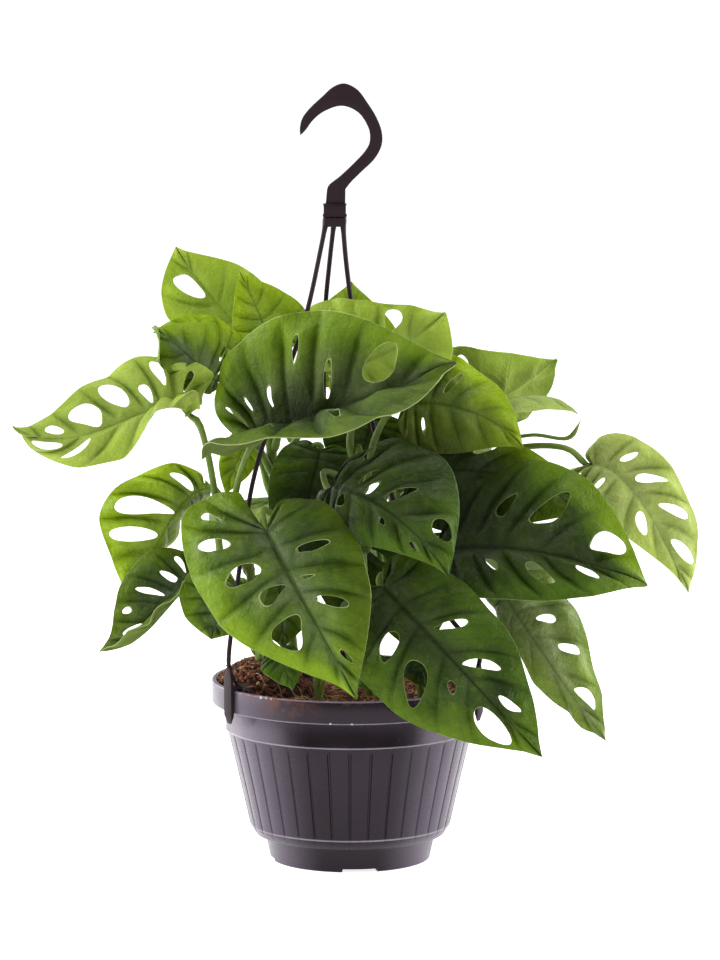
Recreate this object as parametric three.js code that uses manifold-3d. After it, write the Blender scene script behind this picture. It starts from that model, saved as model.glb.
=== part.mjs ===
// Swiss-cheese plant (Monstera adansonii) in a fluted plastic pot with a three-strand hanger.
// Millimetres, +Z up. The origin is the middle of the pot's underside, and the plant faces -Y.
import * as THREE from 'three';
import { mergeVertices } from 'three/addons/utils/BufferGeometryUtils.js';
import Module from 'manifold-3d';

// ---- driving dimensions -------------------------------------------------------------------
const POT_HEIGHT = 125;
const RIM_RADIUS = 95;
const WALL = 2;
const FLUTES = 36;
const COLLAR_BOTTOM = 109;
const COLLAR_INNER = RIM_RADIUS - WALL - 1.4;
const FLOOR_TOP = 5;
const FOOT_RADIUS = 54.7;
const FOOT_LIFT = 2.6;
const DRAIN_RADIUS = 4;
const DRAIN_CIRCLE = 32;
const DRAIN_COUNT = 5;
const NOTCH_WIDTH = 24;
const NOTCH_DEPTH = 14;
const NOTCH_COUNT = 4;
const NOTCH_TURN = -0.46 * Math.PI;
const GAP = 0.3;
const STALK_GAP = 0.65;
const REST = 0.05;

const SOIL_LEVEL = 112;
const HEAP_CENTRE = [-50, -6];
const HEAP_SIZE = [38, 44, 23];
const HEAP_RINGS = 5;

const HOOK_DEPTH = 7;
const NECK_BOTTOM = 442.5;
const NECK_MIDDLE = -10.3;
const NECK_BLOCK = { width: 16.4, depth: 9, height: 9 };
const STRAND_RADIUS = 1.65;
const CLIP_WIDTH = 10;
const CLIP_THICKNESS = 2.2;
const CLIP_LEG = RIM_RADIUS + 0.6;
const CLIP_TOP = 141;
const CLIP_TIP = 102;

const BLADE_THICKNESS = 1;
const VEIN_STEPS = 2;
const HOLE_CORNER = 66;
const STALK_SIDES = 5;
const STALK_RADIUS = 2.5;
const STEM_SIDES = 8;
const SMALLEST_HOLE = 0.022;

const mix = THREE.MathUtils.lerp;
const radians = THREE.MathUtils.degToRad;

// ---- materials ----------------------------------------------------------------------------
const matte = (color, roughness) => new THREE.MeshStandardMaterial({ color, roughness, metalness: 0 });
const POT_PLASTIC = matte(0x3b363d, 0.42);
const HANGER_PLASTIC = matte(0x2a2123, 0.45);
const SOIL = matte(0x5a3a2a, 0.95);
const STEM_GREEN = matte(0x6f9438, 0.5);
const LEAF_GREENS = {
  bright: matte(0x86ad3c, 0.45),
  mid: matte(0x5f8c33, 0.45),
  deep: matte(0x3f6a26, 0.4),
  pale: matte(0x8fae6a, 0.5),
};

// ---- solids -------------------------------------------------------------------------------
const wasm = await Module();
wasm.setup();

/** A closed geometry as a solid that can be joined and cut. */
function toSolid(geometry) {
  const bare = geometry.clone();
  bare.deleteAttribute('normal');
  bare.deleteAttribute('uv');
  const merged = mergeVertices(bare, 1e-3);
  const faces = merged.index.array;
  const kept = [];
  for (let i = 0; i < faces.length; i += 3) {
    const [a, b, c] = [faces[i], faces[i + 1], faces[i + 2]];
    if (a !== b && b !== c && c !== a) kept.push(a, b, c);
  }
  return new wasm.Manifold(new wasm.Mesh({
    numProp: 3,
    vertProperties: new Float32Array(merged.attributes.position.array),
    triVerts: new Uint32Array(kept),
  }));
}

function toGeometry(solid) {
  const mesh = solid.getMesh();
  const geometry = new THREE.BufferGeometry();
  geometry.setAttribute('position', new THREE.BufferAttribute(mesh.vertProperties, 3));
  geometry.setIndex(new THREE.BufferAttribute(mesh.triVerts, 1));
  geometry.computeVertexNormals();
  return geometry;
}

function piece(name, geometry, material) {
  const mesh = new THREE.Mesh(geometry, material);
  mesh.name = name;
  return mesh;
}

/** A solid of revolution about Z from [radius, height] pairs that run from the axis to the axis. */
function turned(profile, segments) {
  const points = profile.map(([radius, height]) => new THREE.Vector2(radius, height));
  return new THREE.LatheGeometry(points, segments).rotateX(Math.PI / 2);
}

/** A round rod along a smooth curve through the points. */
function rod(points, radius, sides, steps) {
  const section = new THREE.Shape();
  for (let i = 0; i <= sides; i++) {
    const angle = (2 * Math.PI * i) / sides;
    const corner = [radius * Math.cos(angle), radius * Math.sin(angle)];
    if (i === 0) section.moveTo(...corner);
    else section.lineTo(...corner);
  }
  const path = new THREE.CatmullRomCurve3(points.map((p) => new THREE.Vector3(...p)));
  return new THREE.ExtrudeGeometry(section, { steps, extrudePath: path, bevelEnabled: false, curveSegments: 1 });
}

// ---- pot ----------------------------------------------------------------------------------
// Outside from the foot up to the rim, then inside down to the floor.
const POT_OUTSIDE = [
  [0, 0], [12, 0], [12, FOOT_LIFT], [50, FOOT_LIFT], [50, 0], [FOOT_RADIUS, 0], [58.4, 15.9],
  [64, 17.5], [68.8, 24], [76.3, 57], [84.2, 90.6], [85.8, 91.2], [85.2, COLLAR_BOTTOM],
  [RIM_RADIUS - 1.5, COLLAR_BOTTOM], [RIM_RADIUS, COLLAR_BOTTOM + 1.5],
  [RIM_RADIUS, POT_HEIGHT - 1], [RIM_RADIUS - 1, POT_HEIGHT],
];
const POT_INSIDE = [
  [COLLAR_INNER, POT_HEIGHT], [COLLAR_INNER, COLLAR_BOTTOM + WALL + 1], [83.2, COLLAR_BOTTOM],
  [82.6, 92], [74.3, 57], [66.4, 24.5], [63, 20], [56.5, 17.5], [53.5, FLOOR_TOP], [0, FLOOR_TOP],
];

function pot() {
  let body = toSolid(turned([...POT_OUTSIDE, ...POT_INSIDE], FLUTES));
  for (let i = 0; i < DRAIN_COUNT; i++) {
    const angle = (2 * Math.PI * (i + 0.25)) / DRAIN_COUNT;
    const hole = new THREE.CylinderGeometry(DRAIN_RADIUS, DRAIN_RADIUS, 4 * FLOOR_TOP, 10).rotateX(Math.PI / 2);
    hole.translate(DRAIN_CIRCLE * Math.cos(angle), DRAIN_CIRCLE * Math.sin(angle), 0);
    body = body.subtract(toSolid(hole));
  }
  for (let i = 0; i < NOTCH_COUNT; i++) {
    const notch = new THREE.BoxGeometry(NOTCH_DEPTH, NOTCH_WIDTH, 2 * (FOOT_LIFT - GAP));
    notch.translate(FOOT_RADIUS + 1, 0, 0).rotateZ((2 * Math.PI * i) / NOTCH_COUNT + NOTCH_TURN);
    body = body.subtract(toSolid(notch));
  }
  return piece('pot', toGeometry(body), POT_PLASTIC);
}

// ---- stems --------------------------------------------------------------------------------
// Each stem is rooted in the soil and carries the leaf stalks that are named after it.
const STEMS = {
  left: { radius: 3.4, points: [[-58, -10, 98], [-64, -9, 160], [-70, -8, 216]] },
  front: { radius: 3.2, points: [[-20, -35, 98], [-23, -34, 150], [-26, -33, 206]] },
  middle: { radius: 3.6, points: [[15, -10, 98], [9, -12, 190], [6, -12, 288]] },
  right: { radius: 3.2, points: [[50, -25, 98], [47, -22, 150], [44, -20, 202]] },
  back_right: { radius: 3.6, points: [[10, 40, 98], [22, 38, 190], [36, 34, 272]] },
  back_left: { radius: 3.6, points: [[-35, 35, 98], [-46, 30, 200], [-56, 24, 296]] },
};

const stemRod = ({ radius, points }) => rod(points, radius, STEM_SIDES, 6);

/** The hole that a stem stands in: the same rod, a gap wider and a gap deeper. */
function stemHole({ radius, points: [[x, y, z], ...others] }) {
  return rod([[x, y, z - GAP], ...others], radius + GAP + REST, STEM_SIDES, 6);
}

function stems() {
  return Object.entries(STEMS).map(([name, stem]) =>
    piece(`stem_${name}`, toGeometry(toSolid(stemRod(stem))), STEM_GREEN));
}

/** The point beside a stem at a height, just clear of it, on the side that faces the target. */
function besideStem(stemName, height, target, stalkRadius) {
  const stem = STEMS[stemName];
  const curve = new THREE.CatmullRomCurve3(stem.points.map((p) => new THREE.Vector3(...p)));
  const bottom = stem.points[0][2];
  const top = stem.points[stem.points.length - 1][2];
  const axis = curve.getPoint((height - bottom) / (top - bottom));
  const outward = new THREE.Vector3(target[0] - axis.x, target[1] - axis.y, 0).normalize();
  const start = axis.clone().addScaledVector(outward, stem.radius + STALK_GAP);
  const away = start.clone().addScaledVector(outward, stalkRadius + 2);
  return [start.toArray(), away.toArray()];
}

// ---- soil ---------------------------------------------------------------------------------
function withStemHoles(name, geometry) {
  let body = toSolid(geometry);
  for (const stem of Object.values(STEMS)) body = body.subtract(toSolid(stemHole(stem)));
  return piece(name, toGeometry(body), SOIL);
}

/** The level bed, which fills the pot up to the collar's foot. */
function soil() {
  const wall = POT_INSIDE.slice(1, -1).reverse().map(([radius, height]) => [radius - GAP, height]);
  const floor = FLOOR_TOP + GAP;
  const below = wall.map(([radius, height]) => [radius, Math.max(height, floor)]);
  return withStemHoles('soil', turned([[0, floor], ...below, [0, SOIL_LEVEL]], FLUTES));
}

/** The mound that lies on the bed near the left of the rim. */
function soilHeap() {
  const profile = [[0, 0]];
  for (let i = 0; i <= HEAP_RINGS; i++) {
    const angle = (Math.PI / 2) * (i / HEAP_RINGS);
    profile.push([Math.cos(angle), Math.sin(angle)]);
  }
  profile[profile.length - 1][0] = 0;
  const heap = turned(profile, FLUTES / 2).scale(...HEAP_SIZE);
  heap.translate(...HEAP_CENTRE, SOIL_LEVEL + REST);
  return withStemHoles('soil_heap', heap);
}

// ---- hanger -------------------------------------------------------------------------------
// The hook's outline in the XZ plane, from its point over the back to the neck and round the mouth.
const HOOK_BACK = [
  [-35, 502], [-33.5, 509], [-29, 515.5], [-19, 525], [-12, 531.5], [-4, 534], [5.5, 529], [12, 520],
  [21.5, 503.5], [22, 496.5], [20.5, 489.5], [15.5, 481], [6.5, 472], [0, 465], [-2, 461],
];
const HOOK_MOUTH = [
  [-15.5, 464], [-7, 471], [2.5, 480], [9, 486.5], [12, 491.5], [13, 496.5], [12.5, 502.5],
  [5.5, 514], [-5.5, 518.5], [-18.5, 514], [-25, 508], [-32, 499],
];
const asPoints = (pairs) => pairs.map(([x, z]) => new THREE.Vector2(x, z));

function hook() {
  const outline = new THREE.Shape();
  outline.moveTo(-34.5, 497);
  outline.splineThru(asPoints(HOOK_BACK));
  outline.lineTo(NECK_MIDDLE + 8, NECK_BOTTOM);
  outline.lineTo(NECK_MIDDLE - 8, NECK_BOTTOM);
  outline.lineTo(-16.6, 461);
  outline.splineThru(asPoints(HOOK_MOUTH));
  const flat = new THREE.ExtrudeGeometry(outline, { depth: HOOK_DEPTH, bevelEnabled: false, curveSegments: 2 });
  flat.translate(0, 0, -HOOK_DEPTH / 2).rotateX(Math.PI / 2);
  const block = new THREE.BoxGeometry(NECK_BLOCK.width, NECK_BLOCK.depth, NECK_BLOCK.height);
  block.translate(NECK_MIDDLE, 0, NECK_BOTTOM + NECK_BLOCK.height / 2);
  return piece('hook', toGeometry(toSolid(flat).add(toSolid(block))), HANGER_PLASTIC);
}

// Each strand drops from the neck to its clip; the turn is the clip's angle about Z from -Y.
const STRANDS = {
  left: {
    turn: -58,
    points: [[-16, 0, 441.7], [-20, -4, 420], [-30, -16, 376], [-49, -30, 320], [-65, -41, 269],
      [-73, -46, 220], [-79, -50, 175]],
  },
  right: {
    turn: 65,
    points: [[-4.6, 0, 441.7], [-3, 3, 415], [1, 10, 381], [8, 6, 335], [18, -4, 290], [30, -23, 250],
      [46, -33, 212], [67, -38, 174]],
  },
  back: {
    turn: 183,
    points: [[NECK_MIDDLE, 0, 441.7], [-14, 10, 410], [-17, 24, 376], [-18, 31, 318], [-15, 54, 268],
      [-10, 78, 212]],
  },
};

/** The clip's side view: a flat leg outside the collar, a bridge over the rim and a short prong inside. */
function clip(turn) {
  const inner = CLIP_LEG;
  const outer = inner + CLIP_THICKNESS;
  const bridge = POT_HEIGHT + 0.4;
  const prong = COLLAR_INNER - 0.9;
  const side = new THREE.Shape();
  side.moveTo(inner, CLIP_TIP + 6);
  side.lineTo(inner + 0.8, CLIP_TIP);
  side.lineTo(outer, CLIP_TIP + 6);
  side.lineTo(outer, CLIP_TOP);
  side.lineTo(inner, CLIP_TOP);
  side.lineTo(inner, bridge + CLIP_THICKNESS);
  side.lineTo(prong - CLIP_THICKNESS, bridge + CLIP_THICKNESS);
  side.lineTo(prong - CLIP_THICKNESS, POT_HEIGHT - 6);
  side.lineTo(prong, POT_HEIGHT - 5);
  side.lineTo(prong, bridge);
  side.lineTo(inner, bridge);
  side.closePath();
  const shape = new THREE.ExtrudeGeometry(side, { depth: CLIP_WIDTH, bevelEnabled: false });
  shape.translate(0, 0, -CLIP_WIDTH / 2).rotateX(Math.PI / 2);
  return shape.rotateZ(radians(turn - 90));
}

function strands() {
  return Object.entries(STRANDS).map(([name, { turn, points }]) => {
    const angle = radians(turn - 90);
    const radius = CLIP_LEG + CLIP_THICKNESS / 2;
    const foot = [radius * Math.cos(angle), radius * Math.sin(angle)];
    const path = [...points, [...foot, CLIP_TOP + 8], [...foot, CLIP_TOP - 3]];
    const strand = rod(path, STRAND_RADIUS, 6, 22);
    return piece(`strand_${name}`, toGeometry(toSolid(strand).add(toSolid(clip(turn)))), HANGER_PLASTIC);
  });
}

// ---- leaves -------------------------------------------------------------------------------
// Half a blade seen flat, from the notch at the stalk round the margin to the tip: along, across.
const MARGIN = new THREE.SplineCurve(asPoints([
  [-0.03, 0.05], [-0.085, 0.2], [-0.1, 0.42], [-0.07, 0.65], [0.01, 0.84], [0.13, 0.96], [0.27, 1],
  [0.42, 0.97], [0.56, 0.86], [0.69, 0.67], [0.8, 0.45], [0.895, 0.22], [0.955, 0.08], [1, 0],
]));
const EVEN = [0, 0.125, 0.25, 0.375, 0.5, 0.625, 0.75, 0.875, 1];

/**
 * One leaf's shape. The midrib is a Bezier curve of four points from the stalk to the tip, and
 * facing is the way the upper side looks at both ends. Each of the two halves, right then left
 * seen from above with the tip ahead, has four widths along its margin, a fold and a curl in
 * degrees at both ends, and a base set back along the midrib. cuts part the blade into strips
 * that follow the side veins; a hole lies in one strip: [strip, from, to, fill, shift].
 */
function leaf(name, colour, stem, height, via, midrib, facing, widths, options = {}) {
  return {
    name, colour, stem, height, via, widths,
    midrib: new THREE.CubicBezierCurve3(...midrib.map((p) => new THREE.Vector3(...p))),
    facing: [facing[0], facing[facing.length - 1]].map((n) => new THREE.Vector3(...n).normalize()),
    fold: options.fold ?? [[0, 0], [0, 0]],
    curl: options.curl ?? [[10, 10], [10, 10]],
    back: options.back ?? [0, 0],
    wave: options.wave ?? [0, 0],
    cuts: options.cuts ?? EVEN,
    holes: options.holes ?? [[], []],
    stalkRadius: options.stalkRadius ?? STALK_RADIUS,
  };
}

const LEAVES = [
  leaf('leaf_front_left', 'mid', 'front', 196, [[-44, -46, 235], [-58, -66, 251]],
    [[-56, -83, 240], [-38, -113, 207], [-18, -126, 177], [5, -121, 131]],
    [[-0.25, -0.65, 0.72], [-0.1, -1, 0.1]], [[98, 66, 58, 44], [56, 54, 50, 46]], {
      fold: [[0, 0], [10, 5]], curl: [[45, 45], [35, 35]], back: [0.2, 0],
      cuts: [0, 0.125, 0.25, 0.4, 0.535, 0.64, 0.78, 0.89, 1],
      holes: [
        [[1, 0.58, 0.85, 0.5], [2, 0.42, 0.78, 0.6], [3, 0.25, 0.5, 0.75], [4, 0.12, 0.38, 0.6], [5, 0.2, 0.72, 0.8]],
        [[3, 0.22, 0.62, 0.4], [4, 0.1, 0.28, 0.2], [5, 0.2, 0.68, 0.35, -0.6], [6, 0.45, 0.8, 0.3]]],
    }),
  leaf('leaf_upper_left', 'mid', 'left', 206, [[-79, -20, 240], [-74, -34, 272], [-66, -42, 291]],
    [[-61, -45, 298], [-29, -62, 315], [23, -78, 329], [71, -75, 352]],
    [[-0.44, -0.26, 0.83], [-0.33, -0.28, 0.87]], [[62, 66, 68, 60], [72, 70, 80, 100]], {
      fold: [[30, -15], [60, 60]], curl: [[0, 0], [20, 20]], back: [0.12, 0.1],
      cuts: [0, 0.125, 0.25, 0.375, 0.5, 0.6, 0.71, 0.87, 1],
      holes: [
        [[3, 0.2, 0.45, 0.5], [5, 0.4, 0.6, 0.35]],
        [[1, 0.25, 0.72, 0.35], [3, 0.35, 0.75, 0.3], [4, 0.15, 0.72, 0.35], [5, 0.12, 0.42, 0.5], [6, 0.2, 0.88, 0.75]]],
    }),
  leaf('leaf_centre', 'deep', 'middle', 238, [[-4, -32, 266], [-18, -50, 274]],
    [[-13, -62, 266], [7, -85, 267], [43, -112, 251], [66, -112, 212]],
    [[0.25, -0.85, 0.45]], [[56, 40, 30, 30], [64, 64, 66, 66]], {
      fold: [[-45, -30], [0, 0]], curl: [[20, 20], [20, 20]], back: [0.1, -0.05],
      holes: [
        [[3, 0.08, 0.28, 0.8], [5, 0.25, 0.42, 0.4], [6, 0.5, 0.75, 0.4]],
        [[2, 0.15, 0.75, 0.75], [3, 0.12, 0.35, 0.2, 0.8], [4, 0.05, 0.22, 0.35], [5, 0.1, 0.5, 0.4, -0.5],
          [6, 0.55, 0.92, 0.8]]],
    }),
  leaf('leaf_front_right', 'deep', 'right', 150, [[34, -42, 188], [21, -60, 206]],
    [[22, -72, 200], [50, -100, 175], [87, -112, 136], [129, -98, 88]],
    [[-0.2, -0.8, 0.55], [-0.1, -0.95, 0.2]], [[56, 52, 60, 64], [46, 42, 50, 64]], {
      curl: [[30, 30], [30, 30]],
      cuts: [0, 0.15, 0.3, 0.44, 0.55, 0.68, 0.77, 0.9, 1],
      holes: [
        [[3, 0.25, 0.6, 0.8], [4, 0.3, 0.8, 0.8], [5, 0.25, 0.4, 0.4], [6, 0.3, 0.93, 0.85]],
        [[4, 0.12, 0.55, 0.3, -0.5], [5, 0.1, 0.65, 0.5], [6, 0.3, 0.7, 0.4]]],
    }),
  leaf('leaf_right', 'deep', 'right', 192, [[50, -28, 214], [54, -34, 222]],
    [[59, -35, 219], [94, -61, 227], [140, -74, 228], [202, -50, 197]],
    [[0.05, -0.75, 0.65], [0.1, -0.8, 0.6]], [[34, 36, 44, 60], [50, 54, 80, 110]], {
      fold: [[-10, 10], [15, 15]], curl: [[10, 10], [20, 20]], back: [-0.1, -0.12],
      holes: [
        [[4, 0.25, 0.45, 0.4], [5, 0.3, 0.72, 0.6], [6, 0.4, 0.75, 0.4]],
        [[4, 0.3, 0.55, 0.5], [5, 0.3, 0.75, 0.7], [6, 0.4, 0.92, 0.7, 0.8]]],
    }),
  leaf('leaf_far_right', 'bright', 'back_right', 231, [[70, 30, 266], [120, 22, 282], [150, 17, 281]],
    [[166, 15, 271], [187, 0, 274], [210, -5, 235], [233, 10, 182]],
    [[0.1, -0.85, 0.4]], [[24, 36, 34, 20], [8, 29, 42, 95]], {
      curl: [[10, 10], [20, 20]], back: [0.2, -0.02],
      cuts: [0, 0.13, 0.27, 0.42, 0.56, 0.68, 0.8, 0.93, 1],
      holes: [
        [[1, 0.3, 0.7, 0.5], [3, 0.2, 0.5, 0.4], [5, 0.2, 0.7, 0.6]],
        [[3, 0.25, 0.6, 0.35], [4, 0.15, 0.7, 0.5], [5, 0.3, 0.8, 0.5], [6, 0.2, 0.9, 0.6]]],
    }),
  leaf('leaf_low_right', 'mid', 'right', 168, [[64, -19, 196], [85, -20, 203]],
    [[100, -25, 193], [115, -40, 173], [151, -45, 117], [175, -35, 87]],
    [[0, -0.85, 0.4]], [[20, 20, 24, 30], [38, 46, 42, 40]], {
      fold: [[-50, -50], [-20, -10]], curl: [[10, 10], [20, 20]], wave: [2, 2],
      holes: [[], [[4, 0.2, 0.5, 0.4], [5, 0.4, 0.72, 0.4, -0.6], [6, 0.3, 0.8, 0.7]]],
    }),
  leaf('leaf_upper_right', 'pale', 'back_right', 265, [[48, 38, 286], [61, 42, 294]],
    [[72, 40, 295], [89, 35, 307], [117, 30, 319], [142, 35, 342]],
    [[-0.2, 0.8, 0.6]], [[56, 60, 56, 50], [20, 24, 34, 70]], {
      curl: [[-20, -20], [0, 0]],
      holes: [[[3, 0.6, 0.85, 0.7], [4, 0.6, 0.85, 0.7]], [[4, 0.15, 0.6, 0.5]]],
    }),
  leaf('leaf_arching_right', 'pale', 'back_right', 254, [[46, 28, 282], [60, 25, 298]],
    [[70, 21, 303], [96, 6, 318], [133, -8, 330], [155, -12, 309]],
    [[0, -0.1, 1]], [[30, 30, 30, 30], [12, 18, 24, 30]], { fold: [[-10, -10], [-10, -10]] }),
  leaf('leaf_top_right', 'bright', 'middle', 282, [[1, -11, 316], [-9, -9, 332]],
    [[-10, -8, 337], [10, -18, 345], [42, -22, 357], [65, -12, 379]],
    [[-0.1, -0.93, 0.35]], [[26, 34, 50, 110], [86, 58, 46, 80]], {
      back: [0, 0.12], wave: [0, 3],
      cuts: [0, 0.143, 0.286, 0.43, 0.55, 0.66, 0.82, 1],
      holes: [[], [[5, 0.35, 0.88, 0.8]]],
    }),
  leaf('leaf_top_middle', 'bright', 'back_right', 270, [[20, 38, 300], [5, 38, 318]],
    [[0, 35, 328], [-1, 38, 347], [0, 40, 371], [1, 45, 394]],
    [[0, -0.9, 0.4]], [[36, 36, 36, 36], [36, 36, 36, 36]]),
  leaf('leaf_top_left', 'bright', 'back_left', 291, [[-62, 32, 318], [-63, 34, 336]],
    [[-63, 34, 347], [-76, 37, 364], [-103, 41, 388], [-120, 45, 418]],
    [[-0.1, -0.9, 0.3]], [[36, 30, 38, 42], [10, 24, 40, 60]], {
      back: [0, -0.3], holes: [[], [[5, 0.12, 0.8, 0.75]]],
    }),
  leaf('leaf_top_left_small', 'bright', 'back_left', 284, [[-47, 20, 316], [-51, 16, 342]],
    [[-56, 14, 354], [-58, 18, 367], [-67, 24, 384], [-76, 28, 403]],
    [[0.1, -0.9, 0.3]], [[40, 36, 26, 18], [22, 22, 20, 20]]),
  leaf('leaf_left_folded', 'mid', 'back_left', 268, [[-72, 8, 298], [-84, -2, 318]],
    [[-91, -5, 330], [-100, -12, 338], [-115, -22, 359], [-134, -30, 370]],
    [[0, -0.8, 0.6]], [[56, 48, 46, 46], [8, 14, 26, 28]], {
      fold: [[0, 0], [-60, -50]], back: [0.1, 0],
      holes: [[[2, 0.2, 0.4, 0.5]], [[3, 0.3, 0.75, 0.5]]],
    }),
  leaf('leaf_far_left', 'bright', 'left', 172, [[-87, -15, 207], [-91, -23, 250], [-97, -29, 287], [-103, -30, 306]],
    [[-110, -30, 313], [-131, -38, 332], [-182, -50, 276], [-227, -55, 306]],
    [[0, -0.85, 0.5]], [[14, 36, 44, 95], [10, 2, 26, 44]], {
      fold: [[0, 0], [-90, -10]], back: [-0.1, -0.05], stalkRadius: 2.6,
      cuts: [0, 0.14, 0.3, 0.41, 0.52, 0.67, 0.82, 0.93, 1],
      holes: [
        [[2, 0.3, 0.6, 0.4], [3, 0.4, 0.75, 0.6], [4, 0.25, 0.7, 0.6], [5, 0.1, 0.85, 0.85], [6, 0.2, 0.7, 0.7]],
        [[5, 0.3, 0.65, 0.2, 0.8], [6, 0.3, 0.85, 0.55]]],
    }),
  leaf('leaf_left', 'bright', 'left', 202, [[-80, 7, 232], [-90, 11, 251]],
    [[-99, 8, 255], [-122, 3, 248], [-126, -2, 218], [-155, 3, 184]],
    [[-0.1, -0.9, 0.3]], [[20, 30, 64, 130], [40, 40, 40, 40]], {
      fold: [[0, 0], [-85, -85]], back: [-0.08, 0],
      cuts: [0, 0.15, 0.33, 0.46, 0.57, 0.7, 0.85, 1],
      holes: [[[2, 0.08, 0.6, 0.5], [4, 0.05, 0.82, 0.7], [5, 0.05, 0.85, 0.4]], []],
    }),
  leaf('leaf_low_left', 'mid', 'left', 146, [[-80, -8, 176], [-93, -11, 192]],
    [[-104, -15, 194], [-122, -30, 191], [-152, -45, 185], [-176, -50, 165]],
    [[0, -0.8, 0.55]], [[38, 38, 26, 20], [2, 8, 30, 90]], {
      fold: [[0, 0], [-60, 0]], back: [0, -0.15], stalkRadius: 1.9,
      holes: [[[1, 0.2, 0.8, 0.3], [3, 0.2, 0.45, 0.5]], [[3, 0.1, 0.4, 0.4], [5, 0.3, 0.8, 0.6]]],
    }),
  leaf('leaf_low_left_small', 'mid', 'left', 160, [[-68, -20, 186], [-73, -27, 197]],
    [[-77, -30, 194], [-84, -36, 185], [-91, -42, 172], [-94, -44, 159]],
    [[-0.1, -0.9, 0.3]], [[30, 32, 34, 40], [22, 22, 22, 22]], { holes: [[[3, 0.2, 0.45, 0.6]], []] }),
  leaf('leaf_behind_tip', 'bright', 'middle', 262, [[16, -18, 290], [26, -22, 310]],
    [[38, -27, 318], [60, -31, 322], [101, -34, 313], [118, -30, 287]],
    [[0, -0.7, 0.7]], [[34, 34, 34, 34], [44, 42, 32, 20]], {
      fold: [[-20, -20], [15, 15]], curl: [[20, 20], [10, 10]],
      holes: [[], [[3, 0.25, 0.6, 0.4], [4, 0.1, 0.5, 0.4]]],
    }),
  leaf('leaf_inner_right', 'deep', 'middle', 222, [[24, -12, 252], [36, -11, 267]],
    [[44, -10, 268], [81, -14, 277], [129, -18, 266], [170, -15, 240]],
    [[0, -0.85, 0.45]], [[44, 44, 40, 40], [26, 27, 28, 26]], {
      fold: [[-15, -15], [0, 0]],
      holes: [[[2, 0.3, 0.6, 0.4]], [[2, 0.4, 0.85, 0.6], [4, 0.4, 0.88, 0.5]]],
    }),
  leaf('leaf_inner_left', 'deep', 'back_left', 244, [[-34, 20, 272], [-24, 17, 284]],
    [[-21, 14, 280], [-25, 4, 260], [-34, 0, 232], [-41, 2, 194]],
    [[0, -0.95, 0.3], [-0.1, -1, 0.1]], [[30, 30, 30, 30], [34, 37, 36, 32]]),
  leaf('leaf_inner_top', 'deep', 'back_right', 244, [[27, 30, 270], [19, 29, 290]],
    [[15, 26, 302], [11, 24, 288], [7, 23, 272], [3, 23, 254]],
    [[0, -0.95, 0.3], [0, -1, 0.1]], [[32, 32, 32, 32], [32, 32, 32, 30]]),
  leaf('leaf_inner_tip', 'bright', 'back_left', 250, [[-61, 33, 270], [-68, 35, 286]],
    [[-70, 31, 288], [-76, 28, 275], [-82, 26, 262], [-86, 26, 248]],
    [[-0.1, -0.95, 0.3], [-0.1, -1, 0.1]], [[13, 13, 13, 13], [13, 13, 13, 13]]),
  leaf('leaf_inner_middle', 'deep', 'back_right', 196, [[17, 31, 226], [12, 25, 241]],
    [[8, 17, 236], [4, 12, 214], [0, 12, 188], [-6, 16, 152]],
    [[0, -0.95, 0.3], [0, -1, 0.1]], [[34, 34, 34, 34], [32, 32, 32, 32]], {
      holes: [[[3, 0.3, 0.7, 0.3]], [[4, 0.25, 0.7, 0.35]]],
    }),
  leaf('leaf_inner_low_left', 'mid', 'left', 168, [[-56, 6, 190], [-51, 13, 196]],
    [[-49, 14, 192], [-47, 6, 178], [-46, 4, 162], [-46, 4, 144]],
    [[0, -0.95, 0.3], [0, -1, 0.1]], [[26, 26, 26, 26], [24, 24, 24, 24]]),
  leaf('leaf_inner_low_right', 'mid', 'right', 158, [[42, -4, 184], [41, 6, 196]],
    [[40, 8, 192], [42, 2, 176], [45, -2, 160], [48, -2, 140]],
    [[0, -0.95, 0.3], [0, -1, 0.1]], [[26, 26, 26, 26], [26, 26, 26, 26]]),
  leaf('leaf_back_top', 'mid', 'back_left', 262, [[-32, 44, 292], [-22, 56, 302]],
    [[-18, 62, 300], [-22, 92, 306], [-34, 126, 296], [-44, 152, 268]],
    [[-0.1, 0.3, 0.95], [-0.1, 0.75, 0.65]], [[40, 40, 40, 40], [40, 40, 40, 40]], {
      holes: [[[3, 0.25, 0.7, 0.5], [5, 0.25, 0.8, 0.6]], [[2, 0.3, 0.6, 0.5], [4, 0.25, 0.75, 0.5]]],
    }),
  leaf('leaf_back_right', 'mid', 'back_right', 240, [[38, 56, 262], [42, 66, 276]],
    [[44, 74, 276], [56, 104, 282], [74, 134, 270], [86, 156, 238]],
    [[0.2, 0.3, 0.95], [0.2, 0.75, 0.6]], [[42, 42, 42, 42], [42, 42, 42, 42]], {
      holes: [[[3, 0.25, 0.7, 0.5], [5, 0.25, 0.8, 0.6]], [[3, 0.25, 0.6, 0.5], [5, 0.25, 0.75, 0.6]]],
    }),
  leaf('leaf_back_left', 'mid', 'back_left', 206, [[-50, 56, 236], [-50, 68, 244]],
    [[-50, 74, 240], [-58, 104, 240], [-70, 134, 222], [-78, 150, 184]],
    [[-0.3, 0.3, 0.9], [-0.3, 0.8, 0.5]], [[44, 44, 44, 44], [44, 44, 44, 44]], {
      holes: [[[2, 0.3, 0.65, 0.5], [4, 0.25, 0.8, 0.6]], [[3, 0.25, 0.6, 0.5], [5, 0.25, 0.75, 0.6]]],
    }),
  leaf('leaf_back_low', 'deep', 'back_right', 176, [[28, 60, 206], [34, 74, 215]],
    [[36, 82, 212], [40, 110, 210], [46, 138, 190], [50, 154, 150]],
    [[0, 0.3, 0.95], [0, 0.85, 0.45]], [[36, 36, 36, 36], [36, 36, 36, 36]], {
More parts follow.
